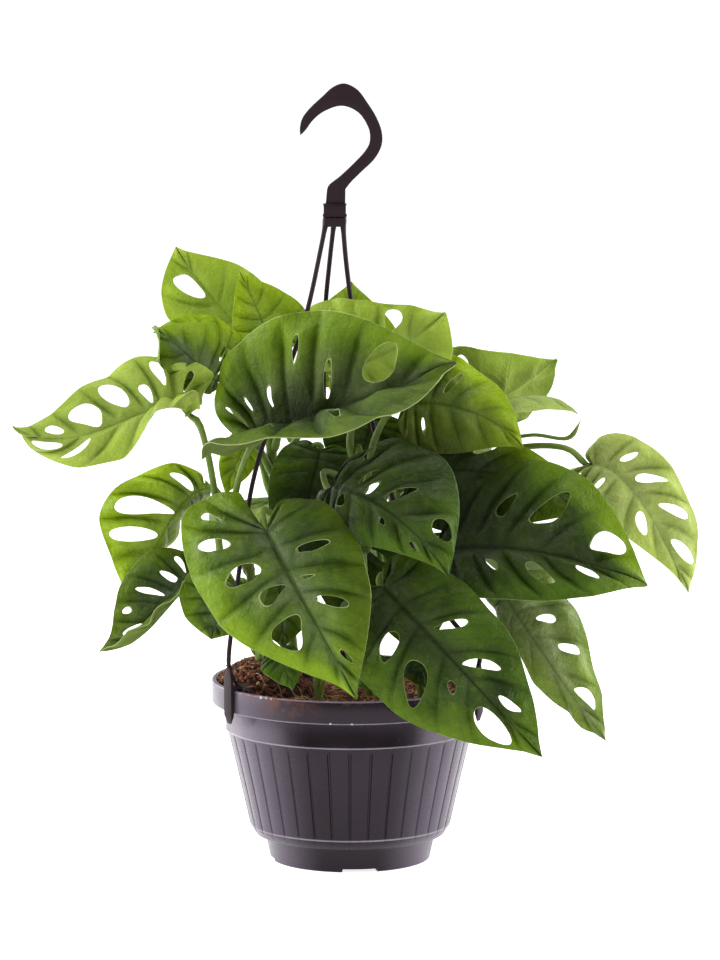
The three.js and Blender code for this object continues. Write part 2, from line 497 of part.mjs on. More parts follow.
      holes: [[[3, 0.25, 0.7, 0.5], [5, 0.25, 0.8, 0.6]], [[2, 0.3, 0.6, 0.5], [4, 0.25, 0.75, 0.5]]],
    }),
  leaf('leaf_back_low_right', 'deep', 'back_right', 204, [[52, 46, 222], [68, 52, 226]],
    [[76, 56, 222], [96, 78, 220], [118, 104, 196], [130, 122, 158]],
    [[0.4, 0.2, 0.9], [0.5, 0.65, 0.55]], [[42, 42, 42, 42], [42, 42, 42, 42]], {
      holes: [[[3, 0.25, 0.7, 0.5], [5, 0.25, 0.8, 0.6]], [[3, 0.25, 0.6, 0.5]]],
    }),
  leaf('leaf_back_side_right', 'mid', 'back_right', 218, [[60, 38, 240], [82, 40, 252]],
    [[94, 44, 254], [120, 58, 264], [146, 76, 256], [166, 92, 236]],
    [[0.2, 0, 1], [0.4, 0.3, 0.85]], [[32, 32, 32, 32], [32, 32, 32, 32]], {
      holes: [[[3, 0.25, 0.7, 0.5]], [[4, 0.25, 0.75, 0.5]]],
    }),
  leaf('leaf_soil_left', 'deep', 'left', 142, [[-56, -30, 152], [-53, -50, 158]],
    [[-50, -60, 152], [-46, -68, 150], [-42, -76, 142], [-38, -82, 131]],
    [[-0.1, -0.7, 0.7]], [[15, 15, 15, 15], [15, 15, 15, 15]], { stalkRadius: 1.3 }),
  leaf('leaf_soil_middle', 'deep', 'front', 126, [[-10, -46, 142], [-4, -54, 146]],
    [[0, -58, 144], [12, -66, 144], [24, -72, 138], [36, -76, 128]],
    [[0, -0.75, 0.65]], [[15, 15, 15, 15], [15, 15, 15, 15]], { stalkRadius: 1.3 }),
  leaf('leaf_soil_right', 'deep', 'right', 126, [[46, -44, 146], [44, -50, 152]],
    [[42, -54, 152], [45, -60, 150], [50, -66, 141], [55, -70, 128]],
    [[0, -0.8, 0.6]], [[16, 16, 16, 16], [16, 16, 16, 16]], { stalkRadius: 1.3 }),
];

/** A value that runs smoothly through four values as f goes from 0 to 1. */
function through(values, f) {
  return new THREE.SplineCurve(values.map((value, i) => new THREE.Vector2(i, value))).getPoint(f).y;
}

/** The point and the normal on a blade's middle surface: f round the margin, v out along the vein. */
function onBlade(shape, half, f, v) {
  const edge = MARGIN.getPoint(f);
  edge.x -= shape.back[half] * (1 - edge.x);
  const root = f >= 1 ? 1 : Math.max(0, (f - 0.2) / 0.8) ** 1.6;
  const bend = new THREE.Vector2(mix(root, edge.x, 0.3), edge.y * 0.55);
  const across = new THREE.QuadraticBezierCurve(new THREE.Vector2(root, 0), bend, edge).getPoint(v);

  const t = THREE.MathUtils.clamp(across.x, 0, 1);
  const { v0, v1 } = shape.midrib;
  const point = shape.midrib.getPoint(t);
  if (across.x < 0) point.addScaledVector(v1.clone().sub(v0), 3 * across.x);
  const along = shape.midrib.getTangent(t);
  const normal = shape.facing[0].clone().lerp(shape.facing[1], t);
  normal.addScaledVector(along, -normal.dot(along)).normalize();
  const sideways = along.clone().cross(normal).multiplyScalar(half === 0 ? 1 : -1);

  const widths = shape.widths[half];
  const reach = across.y * through(widths, f);
  const fold = radians(mix(...shape.fold[half], t));
  const bending = radians(mix(...shape.curl[half], t)) / Math.max(...widths);
  const turned = fold - bending * reach;
  let out = reach * Math.cos(fold);
  let rise = reach * Math.sin(fold);
  if (Math.abs(bending) > 1e-6) {
    out = (Math.sin(fold) - Math.sin(turned)) / bending;
    rise = (Math.cos(turned) - Math.cos(fold)) / bending;
  }
  rise += shape.wave[half] * Math.sin(8 * Math.PI * f) * v ** 3;
  point.addScaledVector(sideways, out).addScaledVector(normal, rise);
  const tilt = v > 0 ? turned : 0;
  const facing = normal.multiplyScalar(Math.cos(tilt)).addScaledVector(sideways, -Math.sin(tilt));
  return { point, facing };
}

/** The blade as a thin closed shell, with its larger holes cut through. */
function blade(shape) {
  const places = new Map();
  const middle = [];
  const at = (half, f, v) => {
    const key = f > 0.9999 ? 'tip' : `${v < 1e-6 ? 'rib' : half} ${f.toFixed(5)} ${v.toFixed(5)}`;
    if (!places.has(key)) {
      places.set(key, middle.length);
      middle.push(onBlade(shape, half, f, v));
    }
    return places.get(key);
  };

  const triangles = [];
  const quad = (corners, half) => {
    const [a, b, c, d] = corners;
    for (const face of [[a, b, c], [a, c, d]]) {
      if (new Set(face).size === 3) triangles.push(half === 0 ? face : face.reverse());
    }
  };

  for (const half of [0, 1]) {
    for (let strip = 0; strip < shape.cuts.length - 1; strip++) {
      const [low, high] = [shape.cuts[strip], shape.cuts[strip + 1]];
      const hole = shape.holes[half].find(([inStrip]) => inStrip === strip);
      const size = hole ? (high - low) * hole[3] * (hole[2] - hole[1]) : 0;
      if (size < SMALLEST_HOLE) {
        for (let i = 0; i < VEIN_STEPS; i++) {
          const [near, far] = [i / VEIN_STEPS, (i + 1) / VEIN_STEPS];
          quad([at(half, low, near), at(half, low, far), at(half, high, far), at(half, high, near)], half);
        }
        continue;
      }
      const border = holeBorder(low, high);
      const opening = holeOpening(low, high, hole);
      for (let i = 0; i < border.length; i++) {
        const next = (i + 1) % border.length;
        quad([at(half, ...border[i]), at(half, ...border[next]), at(half, ...opening[next]),
          at(half, ...opening[i])], half);
      }
    }
  }
  return shell(middle, triangles);
}

/** The strip's outline, from its low side out, across the margin and back along its high side. */
function holeBorder(low, high) {
  const border = [];
  for (let i = 0; i < VEIN_STEPS; i++) border.push([low, i / VEIN_STEPS]);
  border.push([low, 1]);
  for (let i = 0; i < VEIN_STEPS; i++) border.push([high, 1 - i / VEIN_STEPS]);
  border.push([high, 0]);
  return border;
}

/** The hole's own outline, an oval with as many points as the strip's outline. */
function holeOpening(low, high, [, from, to, fill, shift = 0]) {
  const slack = 1 - fill;
  const centre = (low + high) / 2 + (shift * slack * (high - low)) / 2;
  const halfWidth = ((high - low) / 2) * fill;
  const spread = radians(HOLE_CORNER);
  const outline = [];
  for (const side of [-1, 1]) {
    for (let i = 0; i <= VEIN_STEPS; i++) {
      const angle = spread * ((2 * i) / VEIN_STEPS - 1) * -side;
      outline.push([centre + side * halfWidth * Math.cos(angle), (from + to) / 2 + ((to - from) / 2) * Math.sin(angle)]);
    }
  }
  return outline;
}

/** A sheet of triangles given thickness and closed along every free edge. */
function shell(middle, triangles) {
  const count = middle.length;
  const positions = [];
  for (const side of [0.5, -0.5]) {
    for (const { point, facing } of middle) {
      positions.push(...point.clone().addScaledVector(facing, side * BLADE_THICKNESS).toArray());
    }
  }
  const faces = [];
  const edges = new Set();
  for (const [a, b, c] of triangles) {
    faces.push(a, b, c, c + count, b + count, a + count);
    for (const [from, to] of [[a, b], [b, c], [c, a]]) edges.add(`${from} ${to}`);
  }
  for (const edge of edges) {
    const [a, b] = edge.split(' ').map(Number);
    if (edges.has(`${b} ${a}`)) continue;
    faces.push(b, a, a + count, b, a + count, b + count);
  }
  const geometry = new THREE.BufferGeometry();
  geometry.setAttribute('position', new THREE.Float32BufferAttribute(positions, 3));
  geometry.setIndex(faces);
  return geometry;
}

/** The stalk, from beside its stem along its way to just past the blade's base. */
function stalk(shape) {
  const base = shape.midrib.v0;
  const along = shape.midrib.getTangent(0);
  const up = shape.facing[0].clone();
  up.addScaledVector(along, -up.dot(along)).normalize();
  const under = base.clone().addScaledVector(along, -5).addScaledVector(up, -3);
  const inside = base.clone().addScaledVector(along, 5).addScaledVector(up, -0.3);
  const start = besideStem(shape.stem, shape.height, shape.via[0], shape.stalkRadius);
  const points = [...start, ...shape.via, under.toArray(), inside.toArray()];
  return rod(points, shape.stalkRadius, STALK_SIDES, 8);
}

function leaves() {
  return LEAVES.map((shape) => {
    const body = toSolid(blade(shape)).add(toSolid(stalk(shape)));
    return piece(shape.name, toGeometry(body), LEAF_GREENS[shape.colour]);
  });
}

// A leaf still rolled up, standing on the stalk of the far right leaf's stem.
function rolledLeaf() {
  const [start, away] = besideStem('back_right', 241, [100, 20], 1.6);
  const points = [start, away, [80, 24, 278], [124, 15, 291], [150, 10, 290], [158, 9, 302]];
  return piece('leaf_rolled', rod(points, 1.6, STALK_SIDES, 12), LEAF_GREENS.mid);
}

// ---- assembly -----------------------------------------------------------------------------
const plant = new THREE.Group();
plant.add(...stems(), ...leaves(), rolledLeaf());

const hanger = new THREE.Group();
hanger.add(hook(), ...strands());

const group = new THREE.Group();
group.add(pot(), soil(), soilHeap(), plant, hanger);

export default group;
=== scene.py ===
"""A Swiss-cheese plant in a fluted plastic hanging pot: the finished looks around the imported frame.

Lengths in the tables and fields are millimetres and are turned into metres where a mesh is made.
+Z is up and the plant faces -Y, as in the frame.
"""

import logging
import math
import random
from dataclasses import dataclass, field
from enum import Enum
from typing import NamedTuple

import bpy
import numpy as np
from mathutils import Euler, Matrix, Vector, noise

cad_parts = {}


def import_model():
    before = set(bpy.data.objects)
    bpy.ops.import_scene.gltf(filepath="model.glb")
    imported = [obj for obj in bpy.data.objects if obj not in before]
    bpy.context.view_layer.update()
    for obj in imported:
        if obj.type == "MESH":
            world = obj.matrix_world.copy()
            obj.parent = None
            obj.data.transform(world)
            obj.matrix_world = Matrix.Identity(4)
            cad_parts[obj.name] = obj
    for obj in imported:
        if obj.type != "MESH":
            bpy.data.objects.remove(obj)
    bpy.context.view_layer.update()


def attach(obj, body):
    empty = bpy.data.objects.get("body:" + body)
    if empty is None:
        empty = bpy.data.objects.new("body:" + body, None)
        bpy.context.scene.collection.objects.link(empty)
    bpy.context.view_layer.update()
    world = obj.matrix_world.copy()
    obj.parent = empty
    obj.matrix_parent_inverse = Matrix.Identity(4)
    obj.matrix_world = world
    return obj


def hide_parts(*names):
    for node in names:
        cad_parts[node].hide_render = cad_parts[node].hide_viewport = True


MM = 0.001
FULL_TURN = 6.28
LOG = logging.getLogger("plant")

Colour = tuple[float, float, float, float]
Pair = tuple[float, float]
Point = tuple[float, float, float]


def rgb(code: int) -> Colour:
    """Gives the linear colour of a display colour by the standard display curve.

    Args:
        code: its red, green and blue bytes, such as 0x5f8c33.

    Returns:
        Red, green, blue and an alpha of 1.
    """
    parts = [(code >> shift & 255) / 255 for shift in (16, 8, 0)]
    linear = [p / 12.92 if p <= 0.04045 else ((p + 0.055) / 1.055) ** 2.4 for p in parts]
    return linear[0], linear[1], linear[2], 1.0


# ---- shader maths ---------------------------------------------------------------------------


class Value:
    """One number that varies over a surface, so that shader maths reads as Python sums."""

    def __init__(self, graph: "Graph", socket: bpy.types.NodeSocket) -> None:
        """Wraps a socket of a graph's node."""
        self.graph = graph
        self.socket = socket

    def _math(self, operation: str, *terms: "Value | float", clamp: bool = False) -> "Value":
        """Adds a Math node.

        Args:
            operation: the node's operation.
            terms: its inputs in order.
            clamp: keeps the result between 0 and 1.

        Returns:
            The node's result.
        """
        settings = {"operation": operation, "use_clamp": clamp}
        return self.graph.value("ShaderNodeMath", settings, dict(enumerate(terms)))

    def __add__(self, other: "Value | float") -> "Value":
        """Adds."""
        return self._math("ADD", self, other)

    __radd__ = __add__

    def __sub__(self, other: "Value | float") -> "Value":
        """Subtracts."""
        return self._math("SUBTRACT", self, other)

    def __rsub__(self, other: "Value | float") -> "Value":
        """Is subtracted."""
        return self._math("SUBTRACT", other, self)

    def __mul__(self, other: "Value | float") -> "Value":
        """Multiplies."""
        return self._math("MULTIPLY", self, other)

    __rmul__ = __mul__

    def __truediv__(self, other: "Value | float") -> "Value":
        """Divides."""
        return self._math("DIVIDE", self, other)

    def __pow__(self, other: "Value | float") -> "Value":
        """Raises to a power."""
        return self._math("POWER", self, other)

    def magnitude(self) -> "Value":
        """Gives the value without its sign."""
        return self._math("ABSOLUTE", self)

    def wrapped(self) -> "Value":
        """Gives what is left after the whole number."""
        return self._math("FRACT", self)

    def clamped(self) -> "Value":
        """Keeps the value between 0 and 1."""
        return self._math("ADD", self, 0.0, clamp=True)

    def step(self, low: float, high: float) -> "Value":
        """Rises smoothly from 0 at one value to 1 at another.

        Args:
            low: where the result is 0.
            high: where the result is 1, which may be under low.

        Returns:
            The eased result.
        """
        settings = {"interpolation_type": "SMOOTHSTEP", "clamp": True}
        if low > high:
            return 1 - self.step(high, low)
        inputs = {"Value": self, "From Min": low, "From Max": high}
        return self.graph.value("ShaderNodeMapRange", settings, inputs)


class Graph:
    """The node tree of one material."""

    # Painted shade in the plant's middle: each shaded spot's middle and how far its painted shade reaches.
    SHADE_SPOTS = ((62, -20, 264, 84), (-28, -52, 300, 58), (-20, 0, 232, 60))
    SHADE_CORE = 0.25

    def __init__(self, name: str) -> None:
        """Makes an empty material.

        Args:
            name: its name.
        """
        self.material = bpy.data.materials.new(name)
        self.material.use_nodes = True
        self.nodes = self.material.node_tree.nodes
        self.nodes.clear()
        self._shared: dict[str, bpy.types.NodeSocket] = {}

    def node(self, kind: str, settings: dict, inputs: dict) -> bpy.types.Node:
        """Adds any node.

        Args:
            kind: the node's type.
            settings: its properties, which are set first.
            inputs: a value or a link for each input, by name or place.

        Returns:
            The node.
        """
        made = self.nodes.new(kind)
        for name, setting in settings.items():
            setattr(made, name, setting)
        for key, item in inputs.items():
            socket = made.inputs[key]
            if isinstance(item, Value):
                item = item.socket
            if isinstance(item, bpy.types.NodeSocket):
                self.material.node_tree.links.new(item, socket)
            else:
                socket.default_value = item
        return made

    def value(self, kind: str, settings: dict, inputs: dict, output: int | str = 0) -> Value:
        """Adds a node and wraps one of its outputs."""
        return Value(self, self.node(kind, settings, inputs).outputs[output])

    def place(self) -> bpy.types.NodeSocket:
        """Gives the place on the object.

        Returns:
            A link to the place in metres, the same for the whole material.
        """
        if "place" not in self._shared:
            self._shared["place"] = self.node("ShaderNodeTexCoord", {}, {}).outputs["Object"]
        return self._shared["place"]

    def along(self, axis: str, source: bpy.types.NodeSocket | None = None) -> Value:
        """Gives one coordinate of the place, or of another vector."""
        split = self.node("ShaderNodeSeparateXYZ", {}, {0: source or self.place()})
        return Value(self, split.outputs[axis])

    def noise(self, size: float, detail: float = 3.0, rough: float = 0.5, warp: float = 0.0) -> Value:
        """Adds soft noise.

        Args:
            size: the width of its patches in metres.
            detail: how many finer layers it has.
            rough: how strong they are.
            warp: how far it is distorted.

        Returns:
            The noise, from 0 to 1.
        """
        inputs = {"Vector": self.place(), "Scale": 1 / size, "Detail": detail, "Roughness": rough,
                  "Distortion": warp}
        return self.value("ShaderNodeTexNoise", {}, inputs)

    def cells(self, size: float, feature: str = "DISTANCE_TO_EDGE") -> Value:
        """Adds a net of cells of a width in metres, read as the distance that a feature names."""
        inputs = {"Vector": self.place(), "Scale": 1 / size}
        return self.value("ShaderNodeTexVoronoi", {"feature": feature}, inputs, "Distance")

    def attribute(self, name: str) -> Value:
        """Reads a number that the mesh holds."""
        return self.value("ShaderNodeAttribute", {"attribute_name": name}, {}, "Fac")

    def core_shade(self) -> Value:
        """Gives how much painted shade falls on a place in the plant's middle.

        Returns:
            0 outside, rising to 1 in the shaded middle.
        """
        shade: Value | float = 1.0
        for *middle, reach in self.SHADE_SPOTS:
            inputs = {0: self.place(), 1: tuple(m * MM for m in middle)}
            away = self.value("ShaderNodeVectorMath", {"operation": "DISTANCE"}, inputs, "Value")
            shade = away.step(reach * self.SHADE_CORE * MM, reach * MM) * shade
        return 1 - shade

    def mix(self, factor: Value | float, first: object, second: object) -> bpy.types.NodeSocket:
        """Mixes two colours.

        Args:
            factor: how much of the second there is.
            first: a colour or a link.
            second: a colour or a link.

        Returns:
            A link to the mixed colour.
        """
        settings = {"data_type": "RGBA", "clamp_factor": True}
        return self.node("ShaderNodeMix", settings, {0: factor, 6: first, 7: second}).outputs[2]

    def bump(self, height: Value, depth: float) -> bpy.types.NodeSocket:
        """Turns a height from 0 to 1, times a depth in metres, into a bent normal."""
        inputs = {"Strength": 1.0, "Distance": depth, "Height": height}
        return self.node("ShaderNodeBump", {}, inputs).outputs[0]

    def finish(self, **inputs: object) -> bpy.types.Material:
        """Ends the tree in a Principled shader.

        Args:
            inputs: its inputs by name, with underscores for the spaces.

        Returns:
            The finished material.
        """
        named = {key.replace("_", " "): item for key, item in inputs.items()}
        shader = self.node("ShaderNodeBsdfPrincipled", {}, named)
        self.node("ShaderNodeOutputMaterial", {}, {0: shader.outputs[0]})
        return self.material


# ---- finishes -------------------------------------------------------------------------------


@dataclass(frozen=True)
class LeafFinish:
    """The two sides of a leaf blade: its greens, its veins, its painted sheen and its rim.

    The veins get painted shade in their furrows. glow is painted light, the green where light comes through,
    pale a painted reflection of the sky and dark painted deep shade. A share says how strongly its colour
    shows.
    """

    PATCH = 38 * MM
    SHEEN_PATCH = 15 * MM
    FOLD = 13 * MM
    BRANCH = 12 * MM
    STREAK = 9 * MM
    WOBBLE = 5 * MM
    NET = 2.4 * MM
    RELIEF = 1.3 * MM
    LANE_SPREAD = 15

    name: str
    deep: int
    light: int
    vein: int
    margin: int
    sheen: int
    sheen_share: float
    under: int
    rim: int
    rim_share: float = 0.55
    vein_and_furrow_shade: float = 0.5
    gloss: float = 0.42
    glow: int = 0x86a40e
    pale: int = 0xb4bc78
    dark: int = 0x0e1604

    def material(self) -> bpy.types.Material:
        """Builds the blade's material from its UV map, where u counts the side veins.

        Returns:
            The material.
        """
        g = Graph(self.name)
        uv = g.node("ShaderNodeUVMap", {"uv_map": LeafBlade.UV}, {}).outputs[0]
        lane, out = g.along("X", uv), g.along("Y", uv)
        apart = 0.5 - ((lane.wrapped() - 0.5).magnitude())
        spread = apart * (out + 0.22) * self.LANE_SPREAD
        wobble = g.noise(self.WOBBLE) * 1.1
        vein = (spread + wobble).step(1.5, 0.3) * out.step(1.0, 0.6)
        # painted shade in the furrows along the side veins, which the bump also sinks
        furrow_shade = (spread + wobble * 2).step(5.5, 0.6) * out.step(1.05, 0.6)
        lesser = ((lane * 3 + g.noise(self.BRANCH) * 0.7).wrapped() - 0.5).magnitude().step(0.16, 0.02)
        midrib = out.step(0.05, 0.012)
        under = g.attribute(LeafBlade.UNDER)
        rim = g.attribute(LeafBlade.RIM)
        patches = g.noise(self.PATCH, 4.0, 0.6, 0.6)
        streaks = g.noise(self.STREAK, 3.0, 0.6, 1.5)
        net = g.cells(self.NET).step(0.0, 0.2)

        tone = g.mix((patches - 0.34) * 2.6, rgb(self.deep), rgb(self.light))
        tone = g.mix(out.step(0.45, 1.0) * 0.55, tone, rgb(self.light))
        tone = g.mix((streaks - 0.5) * 0.9, tone, rgb(self.margin))
        # painted shade darkens the furrows along the side veins
        tone = g.mix(furrow_shade * self.vein_and_furrow_shade, tone, rgb(self.deep))
        # painted sheen: patches of greyish reflection, strongest near the midrib
        painted_sheen = (g.noise(self.SHEEN_PATCH, 3.0, 0.6, 0.8) * 2.0 - 0.5).clamped() * out.step(0.8, 0.0)
        tone = g.mix(painted_sheen * self.sheen_share, tone, rgb(self.sheen))
        tone = g.mix(lesser * out.step(0.05, 0.3) * 0.22, tone, rgb(self.deep))
        tone = g.mix(vein * self.vein_and_furrow_shade * 0.6, tone, rgb(self.vein))
        tone = g.mix(midrib * 0.7, tone, rgb(self.vein))
        tone = g.mix((1 - net) * 0.1, tone, rgb(self.deep))
        below = g.mix((patches - 0.3) * 1.6, rgb(self.under), rgb(self.light))
        below = g.mix((vein * 0.6 + midrib).clamped() * 0.7, below, rgb(self.margin))
        tone = g.mix(under, tone, below)
        # painted light and shade: the glow of light coming through, and dark shade below 0
        light = g.attribute(LeafBlade.LIGHT) + (patches - 0.5) * 0.3
        tone = g.mix(light, tone, rgb(self.glow))
        tone = g.mix(light * -1.0, tone, rgb(self.dark))
        # painted sheen of mirrored sky over the whole leaf
        tone = g.mix(g.attribute(LeafBlade.SKY_SHEEN) * (streaks + 0.5), tone, rgb(self.pale))
        tone = g.mix(rim.step(0.7, 1.0) * self.rim_share, tone, rgb(self.rim))
        # painted shade: the blade darkens in the plant's middle
        tone = g.mix(g.core_shade() * 0.75, tone, rgb(self.dark))

        folds = g.noise(self.FOLD, 2.0, 0.5, 2.0)
        height = net * 0.1 + patches * 0.4 + streaks * 0.5 + folds * 0.9 - vein * 0.35 - furrow_shade * 0.4
        rough = under * 0.2 + patches * 0.2 + (self.gloss - 0.12)
        return g.finish(Base_Color=tone, Roughness=rough, Normal=g.bump(height, self.RELIEF),
                        Specular_IOR_Level=0.1)


@dataclass(frozen=True)
class StalkFinish:
    """Smooth green stalks and stems with faint lengthwise streaks, pale flecks and painted shade in the
    plant's middle.
    """

    STREAK_SCALE = (900.0, 900.0, 60.0)
    CLOUD = 22 * MM
    FLECK = 2.6 * MM
    RELIEF = 0.25 * MM

    name: str
    green: int
    light: int
    scar: int
    dark: int = 0x18220a

    def material(self) -> bpy.types.Material:
        """Builds the material; the rods' marks show as scars.

        Returns:
            The material.
        """
        g = Graph(self.name)
        stretched = g.node("ShaderNodeMapping", {}, {0: g.place(), 3: self.STREAK_SCALE}).outputs[0]
        streak = g.value("ShaderNodeTexNoise", {}, {"Vector": stretched, "Scale": 1.0, "Detail": 2.0})
        cloud = g.noise(self.CLOUD, 3.0)
        fleck = g.cells(self.FLECK, "F1").step(0.22, 0.12)
        scar = g.attribute(Tube.MARK)
        tone = g.mix((cloud - 0.3) * 1.8, rgb(self.green), rgb(self.light))
        tone = g.mix((streak - 0.45) * 0.8, tone, rgb(self.light))
        tone = g.mix(fleck * 0.25, tone, rgb(self.light))
        tone = g.mix(scar, tone, rgb(self.scar))
        # painted shade: the stalks darken in the plant's middle
        tone = g.mix(g.core_shade() * 0.6, tone, rgb(self.dark))
        height = streak * 0.5 + cloud * 0.3 - scar * 0.6
        return g.finish(Base_Color=tone, Roughness=0.36 + cloud * 0.2, Normal=g.bump(height, self.RELIEF),
                        Specular_IOR_Level=0.2)


@dataclass(frozen=True)
class PlasticFinish:
    """Moulded dark plastic with a fine grain and a faint bloom.

    On the pot, which has a soil colour, come a painted reflection on the flanks, painted highlights along
    the edges at given heights, chips at given places (along X and up) and soil smeared down from the rim.
    """

    GRAIN = 0.7 * MM
    CLOUD = 46 * MM
    SCUFF = 9 * MM
    FILM = 14 * MM
    DUST = 5 * MM
    RELIEF = 0.12 * MM
    FRONT = (0.0, -20 * MM)
    DIRT_FOOT = 108 * MM
    DIRT_HEIGHT = 17 * MM
    DIRT_MIDDLE = -47 * MM
    DIRT_REACH = (34 * MM, 8 * MM)

    name: str
    dark: int
    bloom: int
    gloss: float
    soil: int | None = None
    side_reflection: int = 0x524a56
    edge_highlight: int = 0x8c8290
    chipped: int = 0xc8bcc0
    # heights of the painted highlights along the edges
    edges: tuple[float, ...] = ()
    chips: tuple[Pair, ...] = ()

    def material(self) -> bpy.types.Material:
        """Builds the material.

        Returns:
            The material.
        """
        g = Graph(self.name)
        grain = g.noise(self.GRAIN, 2.0)
        cloud = g.noise(self.CLOUD, 4.0, 0.6)
        scuff = g.noise(self.SCUFF, 5.0, 0.7, 1.2).step(0.56, 0.7)
        tone = g.mix((cloud - 0.3) * 1.5, rgb(self.dark), rgb(self.bloom))
        tone = g.mix(scuff * 0.14, tone, rgb(self.bloom))
        rough = cloud * 0.16 + scuff * 0.05 + grain * 0.06 + (self.gloss - 0.14)
        height = grain * 0.5 + cloud * 0.5
        if self.soil is not None:
            dirt = self._dirt(g)
            tone = g.mix(dirt, self._reflections_and_wear(g, tone, cloud), rgb(self.soil))
            rough = (rough + dirt * 0.4).clamped()
            height = height + dirt * 0.8
        return g.finish(Base_Color=tone, Roughness=rough, Normal=g.bump(height, self.RELIEF),
                        Specular_IOR_Level=0.27, Specular_Tint=(0.97, 0.84, 1.0, 1.0))

    def _dirt(self, g: Graph) -> Value:
        """Gives where soil was smeared and dusted down the front of the collar.

        Args:
            g: the material's tree.

        Returns:
            How much soil there is, from 0 to 1.
        """
        level, across, deep = g.along("Z"), g.along("X"), g.along("Y")
        reach = (level - self.DIRT_FOOT) * (1 / self.DIRT_HEIGHT)
        near = ((across - self.DIRT_MIDDLE).magnitude()).step(*self.DIRT_REACH) * deep.step(*self.FRONT)
        dust = g.noise(self.DUST, 5.0, 0.75).step(0.52, 0.66)
        film = g.noise(self.FILM, 4.0, 0.65).step(0.35, 0.75)
        smear = (near * film * reach.step(0.1, 0.9)).clamped()
        specks = dust * (reach.step(0.75, 1.0) * 0.5 + near * reach.step(-0.1, 0.8) * 0.8).clamped()
        return (smear * 0.9 + specks * 0.7).clamped()

    def _reflections_and_wear(self, g: Graph, tone: object, cloud: Value) -> object:
        """Paints a reflection on the flanks and highlights along the edges, and adds the chips.

        Args:
            g: the material's tree.
            tone: a link to the plastic's colour.
            cloud: its cloudiness.

        Returns:
            A link to the colour with the painted reflection, the painted highlights and the chips.
        """
        level, across, deep = g.along("Z"), g.along("X"), g.along("Y")
        # painted reflection of the side lights on the pot's flanks
        side_reflection_mask = (across.magnitude() / (across * across + deep * deep) ** 0.5).step(0.3, 0.95)
        tone = g.mix(side_reflection_mask * (cloud * 0.3 + 0.85), tone, rgb(self.side_reflection))
        # painted highlights: thin light lines along the edges at these heights
        for edge in self.edges:
            highlight_line = (level - edge * MM).magnitude().step(0.75 * MM, 0.3 * MM)
            tone = g.mix(highlight_line * (0.35 + cloud * 0.7), tone, rgb(self.edge_highlight))
        for x, z in self.chips:
            beside = (across - x * MM).magnitude().step(0.8 * MM, 0.5 * MM)
            above = (level - z * MM).magnitude().step(1.2 * MM, 0.7 * MM)
            tone = g.mix(beside * above * deep.step(*self.FRONT) * 0.7, tone, rgb(self.chipped))
        return tone


@dataclass(frozen=True)
class SoilFinish:
    """Moist potting mix: dark bed, red-brown bark and coir, and pale fibre ends."""

    GRAIN = 1.6 * MM
    RELIEF = 0.5 * MM

    name: str
    dark: int
    red: int
    pale: int
    pale_share: float

    def material(self) -> bpy.types.Material:
        """Builds the material; each crumb's own number picks its tone.

        Returns:
            The material.
        """
        g = Graph(self.name)
        pick = g.attribute(Soil.TINT)
        grain = g.noise(self.GRAIN, 4.0, 0.7)
        tone = g.mix(pick * 1.1 + (grain - 0.5) * 0.9, rgb(self.dark), rgb(self.red))
        tone = g.mix(pick.step(1.0 - self.pale_share, 1.0) * 0.8, tone, rgb(self.pale))
        return g.finish(Base_Color=tone, Roughness=0.8 + grain * 0.15, Normal=g.bump(grain, self.RELIEF))


@dataclass(frozen=True)
class FloorFinish:
    """The plain pale floor, with hardly visible unevenness and a faint glow, like a lit table's."""

    PATCH = 0.6

    name: str
    pale: int
    glow: float

    def material(self) -> bpy.types.Material:
        """Builds the material.

        Returns:
            The material.
        """
        g = Graph(self.name)
        cloud = g.noise(self.PATCH, 2.0)
        return g.finish(Base_Color=rgb(self.pale), Roughness=0.75 + cloud * 0.1,
                        Emission_Color=(1, 1, 1, 1), Emission_Strength=self.glow)


# ---- modelling steps ------------------------------------------------------------------------


